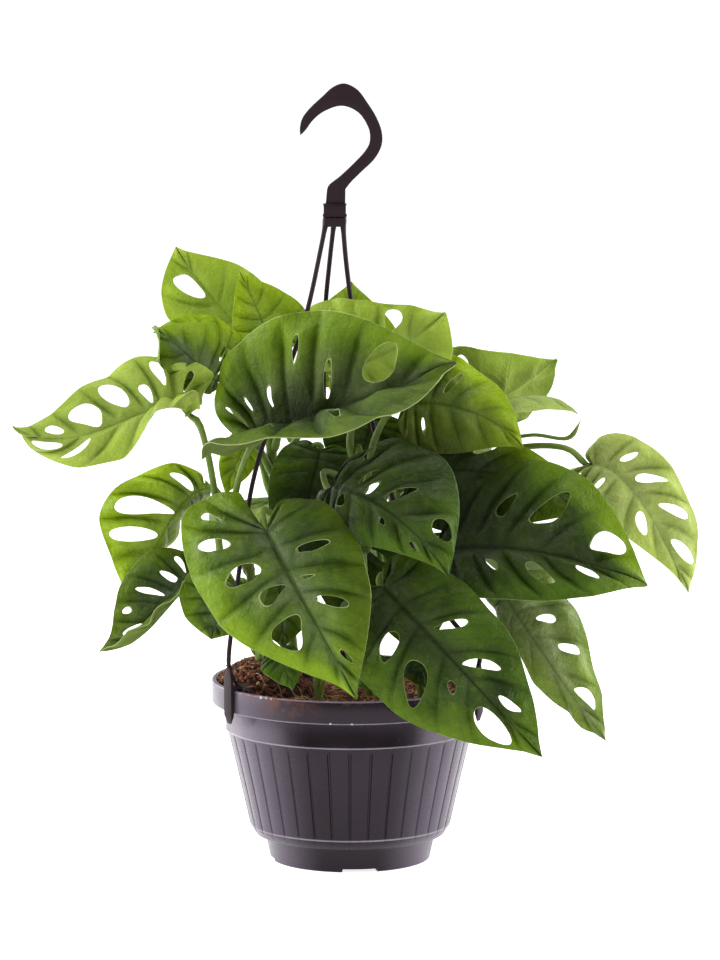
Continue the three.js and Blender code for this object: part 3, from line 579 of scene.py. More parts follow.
class Bench:
    """The modelling steps that the pieces share."""

    @staticmethod
    def grab(*pieces: bpy.types.Object) -> None:
        """Leaves object mode on, with only some pieces selected.

        Args:
            pieces: the pieces, the first of which becomes active.
        """
        if bpy.context.object and bpy.context.object.mode != "OBJECT":
            bpy.ops.object.mode_set(mode="OBJECT")
        bpy.ops.object.select_all(action="DESELECT")
        for piece in pieces:
            piece.select_set(True)
        if pieces:
            bpy.context.view_layer.objects.active = pieces[0]

    @staticmethod
    def edit(piece: bpy.types.Object, select: str = "SELECT") -> None:
        """Opens a piece in edit mode.

        Args:
            piece: the piece.
            select: SELECT for all of it selected, or DESELECT for nothing.
        """
        Bench.grab(piece)
        bpy.ops.object.mode_set(mode="EDIT")
        bpy.ops.mesh.select_all(action=select)

    @staticmethod
    def faced(name: str, vertices: np.ndarray, faces: list) -> bpy.types.Object:
        """Makes a piece of given faces.

        Args:
            name: the piece's name.
            vertices: its vertices in millimetres.
            faces: each face's vertex numbers.

        Returns:
            The piece.
        """
        mesh = bpy.data.meshes.new(name)
        mesh.from_pydata((np.asarray(vertices) * MM).tolist(), [], faces)
        piece = bpy.data.objects.new(name, mesh)
        bpy.context.scene.collection.objects.link(piece)
        return piece

    @staticmethod
    def apply(piece: bpy.types.Object, kind: str, **settings: object) -> None:
        """Adds a modifier, sets it and applies it.

        Args:
            piece: the piece that it shapes.
            kind: the modifier's type.
            settings: its properties.
        """
        Bench.grab(piece)
        modifier = piece.modifiers.new(kind.title(), kind)
        for name, setting in settings.items():
            setattr(modifier, name, setting)
        bpy.ops.object.modifier_apply(modifier=modifier.name)

    @staticmethod
    def clean(piece: bpy.types.Object, apart: float = 0.01 * MM, outward: bool = True) -> None:
        """Merges doubled vertices and points the faces outwards.

        Args:
            piece: the piece.
            apart: how near doubled vertices lie, in metres.
            outward: whether the faces are turned.
        """
        Bench.edit(piece)
        bpy.ops.mesh.remove_doubles(threshold=apart)
        if outward:
            bpy.ops.mesh.normals_make_consistent(inside=False)
        bpy.ops.object.mode_set(mode="OBJECT")

    @staticmethod
    def shade(piece: bpy.types.Object, angle: float = 180.0) -> None:
        """Shades a piece smooth.

        Args:
            piece: the piece.
            angle: the bend in degrees from which an edge stays sharp.
        """
        Bench.grab(piece)
        if angle < 180:
            bpy.ops.object.shade_smooth_by_angle(angle=math.radians(angle))
        else:
            bpy.ops.object.shade_smooth()

    @staticmethod
    def join(name: str, *pieces: bpy.types.Object) -> bpy.types.Object:
        """Joins pieces into the first.

        Args:
            name: what the joined piece is called.
            pieces: the pieces.

        Returns:
            The joined piece.
        """
        Bench.grab(*pieces)
        bpy.ops.object.join()
        pieces[0].name = pieces[0].data.name = name
        return pieces[0]

    @staticmethod
    def settle(piece: bpy.types.Object) -> None:
        """Moves a piece's place, turn and size into its mesh."""
        Bench.grab(piece)
        bpy.ops.object.transform_apply(location=True, rotation=True, scale=True)

    @staticmethod
    def turned(name: str, profile: list[Pair], sides: int) -> bpy.types.Object:
        """Turns a closed solid on the Z axis by extruding a ring along a profile.

        Args:
            name: the piece's name.
            profile: radius and height in millimetres, from near the axis back to near the axis.
            sides: how many vertices each ring has.

        Returns:
            The solid, capped at both ends.
        """
        (radius, height), *rest = profile
        Bench.grab()
        bpy.ops.mesh.primitive_circle_add(vertices=sides, radius=radius * MM, location=(0, 0, 0))
        piece = bpy.context.object
        piece.name = piece.data.name = name
        Bench.edit(piece)
        bpy.ops.transform.translate(value=(0, 0, height * MM))
        for wider, higher in rest:
            lift = {"value": (0, 0, (higher - height) * MM)}
            bpy.ops.mesh.extrude_edges_move(TRANSFORM_OT_translate=lift)
            scale = wider / radius
            bpy.ops.transform.resize(value=(scale, scale, 1), center_override=(0, 0, 0))
            radius, height = wider, higher
        bpy.ops.mesh.edge_face_add()
        bpy.ops.mesh.select_all(action="DESELECT")
        bpy.ops.mesh.select_non_manifold()
        bpy.ops.mesh.edge_face_add()
        Bench.clean(piece)
        return piece

    @staticmethod
    def slab(name: str, outline: list[Pair], depth: float) -> bpy.types.Object:
        """Extrudes an outline in the XZ plane to a depth along Y, centred on the plane.

        Args:
            name: the piece's name.
            outline: the corners in millimetres.
            depth: its thickness in millimetres.

        Returns:
            The closed slab.
        """
        corners = [(x, -depth / 2, z) for x, z in outline]
        piece = Bench.faced(name, corners, [list(range(len(corners)))])
        Bench.edit(piece)
        bpy.ops.mesh.extrude_region_move(TRANSFORM_OT_translate={"value": (0, depth * MM, 0)})
        Bench.clean(piece)
        return piece

    @staticmethod
    def block(name: str, size: Point, middle: Point, bevel: float) -> bpy.types.Object:
        """Makes a block with rounded edges.

        Args:
            name: the piece's name.
            size: its sides in millimetres.
            middle: where its middle is, in millimetres.
            bevel: how wide its rounded edges are, in millimetres.

        Returns:
            The block.
        """
        Bench.grab()
        bpy.ops.mesh.primitive_cube_add(size=1, location=[m * MM for m in middle])
        piece = bpy.context.object
        piece.name = piece.data.name = name
        piece.scale = [s * MM for s in size]
        Bench.settle(piece)
        Bench.apply(piece, "BEVEL", width=bevel * MM, segments=2)
        return piece

    @staticmethod
    def drill(piece: bpy.types.Object, cutter: bpy.types.Object) -> None:
        """Cuts one piece out of another and removes the cutter."""
        Bench.apply(piece, "BOOLEAN", operation="DIFFERENCE", solver="EXACT", object=cutter)
        bpy.data.objects.remove(cutter)

    @staticmethod
    def dress(piece: bpy.types.Object, material: bpy.types.Material, slot: str, *nodes: str) -> None:
        """Gives a piece its finish and its places in the frame, and reports it.

        Args:
            piece: the finished piece.
            material: its finish.
            slot: its material slot in the record; not used.
            nodes: the frame nodes that it stands for.
        """
        piece.data.materials.clear()
        piece.data.materials.append(material)
        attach(piece, "root")
        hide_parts(*nodes)
        LOG.info("%s: %d faces", piece.name, len(piece.data.polygons))


def smooth_through(rows: np.ndarray, f: np.ndarray) -> np.ndarray:
    """Runs smoothly through rows of numbers.

    Args:
        rows: one row for each even step.
        f: places along the rows, from 0 to 1.

    Returns:
        One row for each place.
    """
    last = len(rows) - 1
    place = np.clip(f, 0, 1) * last
    first = np.minimum(place.astype(int), last - 1)
    u = (place - first)[:, None]
    a, b, c, d = (rows[np.clip(first + k, 0, last)] for k in (-1, 0, 1, 2))
    square, cubic = 2 * a - 5 * b + 4 * c - d, 3 * b - a - 3 * c + d
    return 0.5 * (2 * b + (c - a) * u + square * u**2 + cubic * u**3)


def eased(x: np.ndarray, low: float, high: float) -> np.ndarray:
    """Rises smoothly from 0 at low to 1 at high."""
    t = np.clip((x - low) / (high - low), 0, 1)
    return t * t * (3 - 2 * t)


@dataclass
class Way:
    """A smooth curve through points in millimetres, eased so that it doesn't overshoot near ones."""

    FINE = 30

    points: list[Point]

    def at(self, t: float) -> np.ndarray:
        """Gives a place on the curve.

        Args:
            t: where, as a share of the spans between the points.

        Returns:
            The place.
        """
        points = np.array(self.points, float)
        last = len(points) - 1
        span = min(int(t * last), last - 1)
        u = t * last - span
        one, two = points[span], points[span + 1]
        before = points[span - 1] if span else 2 * one - two
        after = points[span + 2] if span + 2 <= last else 2 * two - one
        gaps = [max(np.linalg.norm(q - p), 1e-4) ** 0.5 for p, q in ((before, one), (one, two), (two, after))]
        start = (one - before) / gaps[0] - (two - before) / (gaps[0] + gaps[1]) + (two - one) / gaps[1]
        end = (two - one) / gaps[1] - (after - one) / (gaps[1] + gaps[2]) + (after - two) / gaps[2]
        start, end = start * gaps[1], end * gaps[1]
        cubic, square = 2 * one - 2 * two + start + end, -3 * one + 3 * two - 2 * start - end
        return one + start * u + square * u**2 + cubic * u**3

    def steps(self, count: int) -> np.ndarray:
        """Walks along the curve.

        Args:
            count: how many places to give.

        Returns:
            Evenly spaced places.
        """
        fine = np.array([self.at(t) for t in np.linspace(0, 1, self.FINE * len(self.points))])
        run = np.concatenate([[0], np.cumsum(np.linalg.norm(np.diff(fine, axis=0), axis=1))])
        even = np.linspace(0, run[-1], count)
        return np.stack([np.interp(even, run, fine[:, k]) for k in range(3)], 1)


@dataclass
class Tube:
    """A round rod along a way, with a radius and a mark at every step."""

    MARK = "mark"
    SHARP = 60

    name: str
    places: np.ndarray
    radii: np.ndarray
    marks: np.ndarray | None = None
    roundness: int = 2

    def build(self) -> bpy.types.Object:
        """Sweeps a bevelled curve, makes it a mesh and closes its ends.

        Returns:
            The rod.
        """
        curve = bpy.data.curves.new(self.name, "CURVE")
        curve.dimensions = "3D"
        curve.bevel_depth = MM
        curve.bevel_resolution = self.roundness
        curve.use_fill_caps = True
        spline = curve.splines.new("POLY")
        spline.points.add(len(self.places) - 1)
        for point, place, radius in zip(spline.points, self.places, self.radii):
            point.co = (*(place * MM), 1)
            point.radius = radius
        rod = bpy.data.objects.new(self.name, curve)
        bpy.context.scene.collection.objects.link(rod)
        Bench.grab(rod)
        bpy.ops.object.convert(target="MESH")
        rod = bpy.context.object
        rod.name = rod.data.name = self.name
        Bench.clean(rod, 0.001 * MM)
        mark = rod.data.attributes.new(self.MARK, "FLOAT", "POINT")
        if self.marks is not None:
            for vertex in rod.data.vertices:
                near = np.linalg.norm(self.places * MM - np.array(vertex.co), axis=1).argmin()
                mark.data[vertex.index].value = self.marks[near]
        Bench.shade(rod, self.SHARP)
        return rod


# ---- leaves ---------------------------------------------------------------------------------


class Tone(Enum):
    """The greens that the leaves come in, by their material slot.

    The bright green partly stands for painted light on leaves lit from behind, and the deep green partly
    for painted shade on the leaves in the plant's middle.
    """

    BRIGHT = "leaf_bright"
    MID = "leaf_mid"
    DEEP = "leaf_deep"
    PALE = "leaf_pale"


# Half a blade seen flat, from the notch at the stalk round the margin to the tip: along, across.
MARGIN = np.array([
    (-0.03, 0.05), (-0.085, 0.2), (-0.1, 0.42), (-0.07, 0.65), (0.01, 0.84), (0.13, 0.96), (0.27, 1),
    (0.42, 0.97), (0.56, 0.86), (0.69, 0.67), (0.8, 0.45), (0.895, 0.22), (0.955, 0.08), (1, 0),
])
EVEN = tuple(i / 8 for i in range(9))


class Hole(NamedTuple):
    """A hole in a blade: its strip, its ends as shares of the way out, its fill and its shift aside."""

    strip: int
    start: float
    end: float
    fill: float
    shift: float = 0


class Strip(NamedTuple):
    """A strip between side veins: its half, 0 right or 1 left, its number and its ends round the margin."""

    half: int
    number: int
    low: float
    high: float


@dataclass(frozen=True)
class LeafShape:
    """One leaf. Its midrib is a Bezier curve, and facing is the way its upper side looks at both ends.

    Its stalk leaves a stem at a height and goes via some points. Each half, right then left seen from
    above with the tip ahead, has four widths, a fold and a curl in degrees at both ends, a base set back
    and a wave at its margin. cuts part it into strips between side veins, and each hole lies in one strip.
    quilt is how far the strips swell, crinkle and ruffle are the size of the ripples all over and at the
    margin, and slim narrows the holes. lean sets the side veins' ends back, lip is the share of a half
    that is rolled up at the margin, and lobe_of names the leaf that a loose lobe is part of. lit paints
    light on the blade, or shade below 0: at the stalk, at the tip, and what the right and the left margin
    add. sky_sheen makes it paler with a painted sheen of mirrored sky.
    """

    VEIN_START = 0.2
    LIP_TURN = 2.7
    TIGHTEST = 1.6
    FLAT = 1e-6
    UNDER_BASE = (-5, -3.4)
    IN_BASE = (3.5, -2.6)

    name: str
    tone: Tone
    stem: str
    height: float
    via: tuple[Point, ...]
    midrib: tuple[Point, ...]
    facing: tuple[Point, ...]
    widths: tuple[tuple[float, ...], ...]
    fold: tuple[Pair, Pair] = ((0, 0), (0, 0))
    curl: tuple[Pair, Pair] = ((10, 10), (10, 10))
    back: Pair = (0, 0)
    wave: Pair = (0, 0)
    cuts: tuple[float, ...] = EVEN
    holes: tuple[tuple, tuple] = ((), ())
    stalk_radius: float = 2.5
    quilt: float = 2.1
    crinkle: float = 1.0
    slim: float = 0.68
    ruffle: float = 1.3
    lean: Pair = (0, 0)
    lip: Pair = (0, 0)
    # painted light and shade, and the painted sky sheen
    lit: tuple[float, ...] = (0, 0, 0, 0)
    sky_sheen: float = 0
    lobe_of: str = ""

    def normals(self) -> tuple[np.ndarray, np.ndarray]:
        """Gives the upper side's facing.

        Returns:
            Its direction at the stalk and at the tip.
        """
        ends = np.array([self.facing[0], self.facing[-1]], float)
        ends /= np.linalg.norm(ends, axis=1)[:, None]
        return ends[0], ends[1]

    def surface(self, half: int, f: np.ndarray, v: np.ndarray) -> tuple[np.ndarray, ...]:
        """Places points on the blade's middle surface.

        Args:
            half: 0 for the right half and 1 for the left.
            f: places round the margin from the notch to the tip.
            v: places out along the side vein, from the midrib to the margin.

        Returns:
            The points and their normals, the reach from the midrib and the place along it.
        """
        edge = smooth_through(MARGIN, f)
        edge_x = edge[:, 0] - self.back[half] * (1 - edge[:, 0]) - self.lean[half] * np.sin(np.pi * f)
        edge_y = edge[:, 1]
        root = np.maximum(0, (f - self.VEIN_START) / (1 - self.VEIN_START)) ** 1.6
        root = np.where(f >= 1, 1.0, root)
        s = 1 - v
        x = s * s * root + 2 * s * v * (root + (edge_x - root) * 0.3) + v * v * edge_x
        y = 2 * s * v * edge_y * 0.55 + v * v * edge_y

        t = np.clip(x, 0, 1)[:, None]
        a, b, c, d = np.array(self.midrib, float)
        point = (1 - t) ** 3 * a + 3 * (1 - t) ** 2 * t * b + 3 * (1 - t) * t**2 * c + t**3 * d
        point = point + 3 * np.minimum(x, 0)[:, None] * (b - a)
        along = (1 - t) ** 2 * (b - a) + 2 * (1 - t) * t * (c - b) + t**2 * (d - c)
        along /= np.linalg.norm(along, axis=1)[:, None]
        first, last = self.normals()
        normal = first + (last - first) * t
        normal = normal - along * (normal * along).sum(1)[:, None]
        normal /= np.linalg.norm(normal, axis=1)[:, None]
        side = np.cross(along, normal) * (1 if half == 0 else -1)

        t = t[:, 0]
        widths = np.array(self.widths[half], float)
        reach = y * smooth_through(widths[:, None], f)[:, 0]
        (fold, fold_end), (curl, curl_end) = self.fold[half], self.curl[half]
        fold = np.radians(fold + (fold_end - fold) * t)
        bending = np.radians(curl + (curl_end - curl) * t) / widths.max()
        bending = np.where(np.abs(bending) < self.FLAT, self.FLAT, bending)
        turned = fold - bending * reach
        out = (np.sin(fold) - np.sin(turned)) / bending
        rise = (np.cos(turned) - np.cos(fold)) / bending
        rise = rise + self.wave[half] * np.sin(8 * np.pi * f) * v**3
        point = point + side * out[:, None] + normal * rise[:, None]
        tilt = np.where(v > 0, turned, 0)[:, None]
        ahead = side * np.cos(tilt) + normal * np.sin(tilt)
        above = normal * np.cos(tilt) - side * np.sin(tilt)
        lip = self.lip[half]
        if lip:
            past = np.maximum(v - 1 + lip, 0) * reach.max()
            tight = max(lip * reach.max() / self.LIP_TURN, self.TIGHTEST)
            turn = (past / tight)[:, None]
            point = point + ahead * (tight * np.sin(turn) - past[:, None])
            point = point + above * tight * (1 - np.cos(turn))
            above = above * np.cos(turn) - ahead * np.sin(turn)
        return point, above, reach, x

    def stalk_points(self, start: list[Point]) -> list[Point]:
        """Gives the stalk's way.

        Args:
            start: its first points, beside the stem.

        Returns:
            Its points as far as just inside the blade.
        """
        base, second = np.array(self.midrib[0], float), np.array(self.midrib[1], float)
        along = (second - base) / np.linalg.norm(second - base)
        up, _ = self.normals()
        up = up - along * (up @ along)
        up /= np.linalg.norm(up)
        ends = [tuple(base + ahead * along + above * up) for ahead, above in (self.UNDER_BASE, self.IN_BASE)]
        return [*start, *self.via, *ends]


LEAVES: tuple[LeafShape, ...] = (
    LeafShape(
        "front_left", Tone.MID, "front", 196, via=((-44, -46, 235), (-58, -66, 251)),
        midrib=((-56, -83, 240), (-38, -113, 207), (-18, -126, 177), (5, -121, 131)),
        facing=((-0.25, -0.65, 0.72), (-0.1, -1, 0.1)), widths=((98, 66, 58, 44), (56, 54, 50, 46)),
        fold=((0, 0), (10, 5)), curl=((45, 45), (35, 35)), back=(0.2, 0), quilt=2.6, crinkle=1.1,
        lit=(-0.18, 0.05, 0.3, -0.36), cuts=(0, 0.125, 0.25, 0.4, 0.535, 0.64, 0.78, 0.89, 1),
        holes=(((1, 0.58, 0.82, 0.4), (2, 0.42, 0.78, 0.5), (3, 0.22, 0.62, 0.7), (4, 0.1, 0.42, 0.7),
                (5, 0.2, 0.76, 0.95)),
               ((3, 0.22, 0.62, 0.4), (4, 0.1, 0.28, 0.2), (5, 0.2, 0.68, 0.35, -0.6),
                (6, 0.45, 0.8, 0.3)))),
    LeafShape(
        "upper_left", Tone.MID, "left", 206, via=((-79, -20, 240), (-74, -34, 272), (-66, -42, 291)),
        midrib=((-61, -45, 298), (-29, -62, 315), (23, -78, 329), (71, -75, 352)),
        facing=((-0.44, -0.26, 0.83), (-0.33, -0.28, 0.87)),
        widths=((62, 66, 68, 60), (72, 70, 80, 100)), fold=((30, -15), (60, 60)),
        curl=((0, 0), (20, 20)), back=(0.12, 0.1), quilt=3.6, crinkle=1.6,
        lit=(-0.3, -0.4, -0.12, 0.36), cuts=(0, 0.125, 0.25, 0.375, 0.5, 0.6, 0.71, 0.87, 1),
        holes=(((3, 0.2, 0.45, 0.5), (5, 0.4, 0.6, 0.35)),
               ((1, 0.25, 0.72, 0.35), (2, 0.28, 0.44, 0.2), (3, 0.17, 0.38, 0.22), (4, 0.5, 0.76, 0.3),
                (5, 0.12, 0.5, 0.3), (6, 0.2, 0.85, 0.7)))),
    LeafShape(
        "centre", Tone.DEEP, "middle", 238, via=((-4, -32, 266), (-18, -50, 274)),
        midrib=((-13, -62, 266), (7, -85, 267), (43, -112, 251), (66, -112, 212)),
        facing=((0.25, -0.85, 0.45),), widths=((56, 40, 30, 30), (64, 64, 66, 66)),
        fold=((-45, -30), (0, 0)), curl=((20, 20), (20, 20)), back=(0.1, -0.05),
        lit=(-0.35, 0.05, 0.05, -0.1), quilt=2.6, crinkle=1.2,
        holes=(((3, 0.08, 0.28, 0.8), (5, 0.25, 0.42, 0.4), (6, 0.5, 0.75, 0.4)),
               ((2, 0.15, 0.75, 0.75), (3, 0.12, 0.35, 0.2, 0.8), (4, 0.05, 0.22, 0.35),
                (5, 0.1, 0.5, 0.4, -0.5), (6, 0.55, 0.92, 0.8)))),
    LeafShape(
        "front_right", Tone.DEEP, "right", 150, via=((34, -42, 188), (21, -60, 206)),
        midrib=((22, -72, 200), (50, -100, 175), (87, -112, 136), (129, -98, 88)),
        facing=((-0.2, -0.8, 0.55), (-0.1, -0.95, 0.2)), widths=((56, 52, 60, 64), (46, 42, 50, 64)),
        curl=((30, 30), (30, 30)), cuts=(0, 0.15, 0.3, 0.44, 0.55, 0.68, 0.77, 0.9, 1),
        lit=(-0.12, 0.05, 0.15, -0.05), quilt=2.6, crinkle=1.3,
        holes=(((3, 0.25, 0.6, 0.8), (4, 0.3, 0.8, 0.8), (5, 0.25, 0.4, 0.4), (6, 0.3, 0.94, 1.12)),
               ((4, 0.12, 0.55, 0.3, -0.5), (5, 0.1, 0.65, 0.5), (6, 0.3, 0.7, 0.4)))),
    LeafShape(
        "right", Tone.DEEP, "right", 192, via=((50, -28, 214), (54, -34, 222)),
        midrib=((59, -35, 219), (94, -61, 227), (140, -74, 228), (202, -50, 197)),
        facing=((0.05, -0.75, 0.65), (0.1, -0.8, 0.6)), widths=((34, 36, 44, 60), (50, 54, 80, 110)),
        fold=((-10, 10), (15, 15)), curl=((10, 10), (20, 20)), back=(-0.1, -0.12),
        lit=(-0.62, 0.08, 0.1, 0.4), quilt=2.4, crinkle=1.2,
        holes=(((4, 0.25, 0.45, 0.4), (5, 0.3, 0.72, 0.6), (6, 0.4, 0.75, 0.4)),
               ((4, 0.3, 0.55, 0.5), (5, 0.3, 0.75, 0.7), (6, 0.4, 0.92, 0.7, 0.8)))),
    LeafShape(
        "far_right", Tone.BRIGHT, "back_right", 231,
        via=((70, 30, 266), (120, 22, 282), (150, 17, 281)),
        midrib=((166, 15, 271), (187, 0, 274), (210, -5, 235), (233, 10, 182)),
        facing=((0.1, -0.85, 0.4),), widths=((24, 36, 34, 20), (8, 29, 42, 95)),
        curl=((10, 10), (20, 20)), back=(0.2, -0.02), sky_sheen=0.36, lit=(-0.18, -0.05, 0, 0), quilt=2.4,
        cuts=(0, 0.13, 0.27, 0.42, 0.56, 0.68, 0.8, 0.93, 1),
        holes=(((1, 0.3, 0.7, 0.5), (3, 0.2, 0.5, 0.4), (5, 0.2, 0.7, 0.6)),
               ((3, 0.25, 0.6, 0.35), (4, 0.15, 0.7, 0.5), (5, 0.3, 0.8, 0.5), (6, 0.2, 0.9, 0.6)))),
    LeafShape(
        "low_right", Tone.MID, "right", 168, via=((64, -19, 196), (85, -20, 203)),
        midrib=((100, -25, 193), (115, -40, 173), (151, -45, 117), (175, -35, 87)),
        facing=((0, -0.85, 0.4),), widths=((20, 20, 24, 30), (38, 46, 42, 40)),
        fold=((-50, -50), (-20, -10)), curl=((10, 10), (20, 20)), wave=(2, 2), lit=(-0.1, 0, 0, 0),
        sky_sheen=0.1, quilt=3.0, crinkle=1.9, ruffle=2.6,
        holes=((), ((4, 0.2, 0.5, 0.4), (5, 0.4, 0.72, 0.4, -0.6), (6, 0.3, 0.8, 0.7)))),
    LeafShape(
        "upper_right", Tone.PALE, "back_right", 265, via=((48, 38, 286), (61, 42, 294)),
        midrib=((72, 40, 295), (89, 35, 307), (117, 30, 319), (142, 35, 342)),
        facing=((-0.2, 0.8, 0.6),), widths=((56, 60, 56, 50), (20, 24, 34, 70)),
        curl=((-20, -20), (0, 0)), ruffle=2.6, crinkle=1.8, quilt=3.0, lit=(0.25, 0.3, 0.35, 0.15),
        sky_sheen=0.14, holes=(((3, 0.6, 0.85, 0.7), (4, 0.6, 0.85, 0.7)), ((4, 0.15, 0.6, 0.5),))),
    LeafShape(
        "arching_right", Tone.PALE, "back_right", 254, via=((46, 28, 282), (60, 25, 298)),
        midrib=((70, 21, 303), (96, 6, 318), (133, -8, 330), (155, -12, 309)), facing=((0, -0.1, 1),),
        widths=((30, 30, 30, 30), (12, 18, 24, 30)), fold=((-10, -10), (-10, -10)),
        lit=(0.1, 0.1, 0, 0), sky_sheen=0.2),
    LeafShape(
        "top_right", Tone.BRIGHT, "middle", 282, via=((1, -11, 316), (-9, -9, 332)),
        midrib=((-10, -8, 337), (10, -18, 345), (42, -22, 357), (65, -12, 379)),
        facing=((-0.1, -0.93, 0.35),), widths=((26, 34, 50, 110), (86, 58, 46, 80)), back=(0, 0.12),
        wave=(0, 3), lit=(0.4, 0.25, 0.1, 0.1), sky_sheen=0.14,
        cuts=(0, 0.143, 0.286, 0.43, 0.55, 0.66, 0.82, 1), holes=((), ((5, 0.35, 0.88, 0.8),))),
    LeafShape(
        "top_middle", Tone.BRIGHT, "back_right", 270, via=((20, 38, 300), (5, 38, 318)),
        midrib=((0, 35, 328), (-1, 38, 347), (0, 40, 371), (1, 45, 394)), facing=((0, -0.9, 0.4),),
        widths=((36, 36, 36, 36), (36, 36, 36, 36)), lit=(0.3, 0.25, 0, 0), sky_sheen=0.08),
    LeafShape(
        "top_left", Tone.BRIGHT, "back_left", 291, via=((-62, 32, 318), (-63, 34, 336)),
        midrib=((-63, 34, 347), (-76, 37, 364), (-103, 41, 388), (-120, 45, 418)),
        facing=((-0.1, -0.9, 0.3),), widths=((36, 30, 38, 42), (10, 24, 40, 60)), back=(0, -0.3),
        lit=(0.5, 0.3, 0.1, 0.2), quilt=2.8, crinkle=1.4, sky_sheen=0.1,
        cuts=(0, 0.125, 0.25, 0.375, 0.5, 0.6, 0.72, 0.9, 1), holes=((), ((6, 0.1, 0.8, 0.8),))),
    LeafShape(
        "top_left_small", Tone.BRIGHT, "back_left", 284, via=((-47, 20, 316), (-51, 16, 342)),
        midrib=((-56, 14, 354), (-58, 18, 367), (-67, 24, 384), (-76, 28, 403)),
        facing=((0.1, -0.9, 0.3),), widths=((40, 36, 26, 18), (22, 22, 20, 20))),
    LeafShape(
        "left_folded", Tone.MID, "back_left", 268, via=((-72, 8, 298), (-84, -2, 318)),
        midrib=((-91, -5, 330), (-100, -12, 338), (-115, -22, 359), (-134, -30, 370)),
        facing=((0, -0.8, 0.6),), widths=((58, 46, 32, 26), (8, 16, 30, 30)), fold=((0, 0), (-50, -30)),
        back=(0.1, 0), quilt=2.6, crinkle=1.6, ruffle=3.2, lip=(0, 0.2), lit=(-0.1, 0.1, 0.35, 0),
        holes=(((2, 0.12, 0.2, 0.5), (3, 0.3, 0.62, 0.5)), ((5, 0.2, 0.6, 0.6),))),
    LeafShape(
        "left_folded_lobe", Tone.BRIGHT, "back_left", 268, via=(),
        midrib=((-80, 8, 350), (-96, 6, 361), (-114, 2, 365), (-134, -6, 364)),
        facing=((0, -0.9, 0.4),), widths=((13, 15, 17, 22), (9, 9, 9, 8)), ruffle=2.6, crinkle=1.4,
        lit=(-0.2, 0.1, 0.1, 0), lobe_of="left_folded"),
    LeafShape(
        "far_left", Tone.BRIGHT, "left", 172,
        via=((-87, -15, 207), (-91, -23, 250), (-97, -29, 287), (-103, -30, 306)),
        midrib=((-110, -30, 313), (-131, -38, 332), (-182, -50, 276), (-227, -55, 306)),
        facing=((0, -0.85, 0.5),), widths=((14, 38, 46, 95), (20, 22, 30, 52)),
        fold=((0, 0), (120, -80)), back=(-0.1, -0.05), lean=(0.14, 0), ruffle=3.4, quilt=2.6,
        stalk_radius=2.6, lit=(0.3, 0.15, 0, -0.3), sky_sheen=0.2,
        cuts=(0, 0.14, 0.3, 0.41, 0.5, 0.58, 0.69, 0.82, 0.93, 1), slim=1,
        holes=(((2, 0.3, 0.72, 0.2), (3, 0.35, 0.85, 0.5), (4, 0.12, 0.45, 0.5), (5, 0.2, 0.78, 0.6),
                (6, 0.1, 0.72, 0.7), (7, 0.2, 0.65, 0.5)),
               ((6, 0.25, 0.8, 0.2, 0.4), (7, 0.25, 0.75, 0.7)))),
    LeafShape(
        "left", Tone.BRIGHT, "left", 202, via=((-80, 7, 232), (-90, 11, 251)),
        midrib=((-99, 8, 255), (-122, 3, 248), (-126, -2, 218), (-155, 3, 184)),
        facing=((-0.1, -0.9, 0.3),), widths=((20, 30, 64, 130), (40, 40, 40, 40)),
        fold=((0, 0), (-85, -85)), back=(-0.08, 0), cuts=(0, 0.15, 0.33, 0.46, 0.57, 0.7, 0.85, 1),
        slim=1, lit=(-0.1, -0.1, 0.1, 0),
        holes=(((2, 0.08, 0.6, 0.5), (4, 0.05, 0.82, 0.7), (5, 0.05, 0.85, 0.4)), ())),
    LeafShape(
        "low_left", Tone.MID, "left", 146, via=((-80, -8, 176), (-93, -11, 192)),
        midrib=((-104, -15, 194), (-124, -28, 190), (-134, -42, 150), (-170, -50, 152)),
        facing=((0, -0.8, 0.55),), widths=((38, 40, 40, 62), (4, 7, 16, 44)), fold=((0, 0), (95, 105)),
        back=(0, -0.05), stalk_radius=1.9, ruffle=2.6, quilt=2.4, crinkle=1.5, slim=0.85,
        lit=(-0.4, -0.3, 0.1, 0.2),
        holes=(((1, 0.2, 0.7, 0.4), (2, 0.3, 0.7, 0.35), (3, 0.18, 0.5, 0.5), (4, 0.2, 0.7, 0.32),
                (5, 0.62, 0.8, 0.4), (6, 0.06, 0.62, 0.9)),
               ())),
    LeafShape(
        "low_left_small", Tone.MID, "left", 160, via=((-68, -20, 186), (-73, -27, 197)),
        midrib=((-77, -30, 194), (-84, -36, 185), (-91, -42, 172), (-94, -44, 159)),
        facing=((-0.1, -0.9, 0.3),), widths=((30, 32, 38, 70), (22, 22, 24, 44)), ruffle=2.2, quilt=2.2,
        crinkle=1.3, holes=((), ((3, 0.3, 0.8, 0.7),))),
    LeafShape(
        "behind_tip", Tone.BRIGHT, "middle", 262, via=((16, -18, 290), (26, -22, 310)),
        midrib=((38, -27, 318), (60, -31, 322), (101, -34, 313), (118, -30, 287)),
        facing=((0, -0.7, 0.7),), widths=((34, 34, 34, 34), (44, 42, 32, 20)),
        fold=((-20, -20), (15, 15)), curl=((20, 20), (10, 10)), lit=(-0.55, -0.1, -0.15, 0.5),
        quilt=3.2, crinkle=1.5,
        holes=(((3, 0.3, 0.62, 0.3),), ((3, 0.25, 0.7, 0.36), (4, 0.2, 0.7, 0.36)))),
    LeafShape(
        "inner_right", Tone.MID, "middle", 222, via=((24, -12, 252), (36, -11, 267)),
        midrib=((44, -10, 268), (81, -14, 277), (129, -18, 266), (170, -15, 240)),
        facing=((0, -0.85, 0.45),), widths=((44, 44, 40, 40), (26, 27, 28, 26)),
        fold=((-15, -15), (0, 0)), lit=(-0.42, 0, -0.2, 0.75), quilt=2.2,
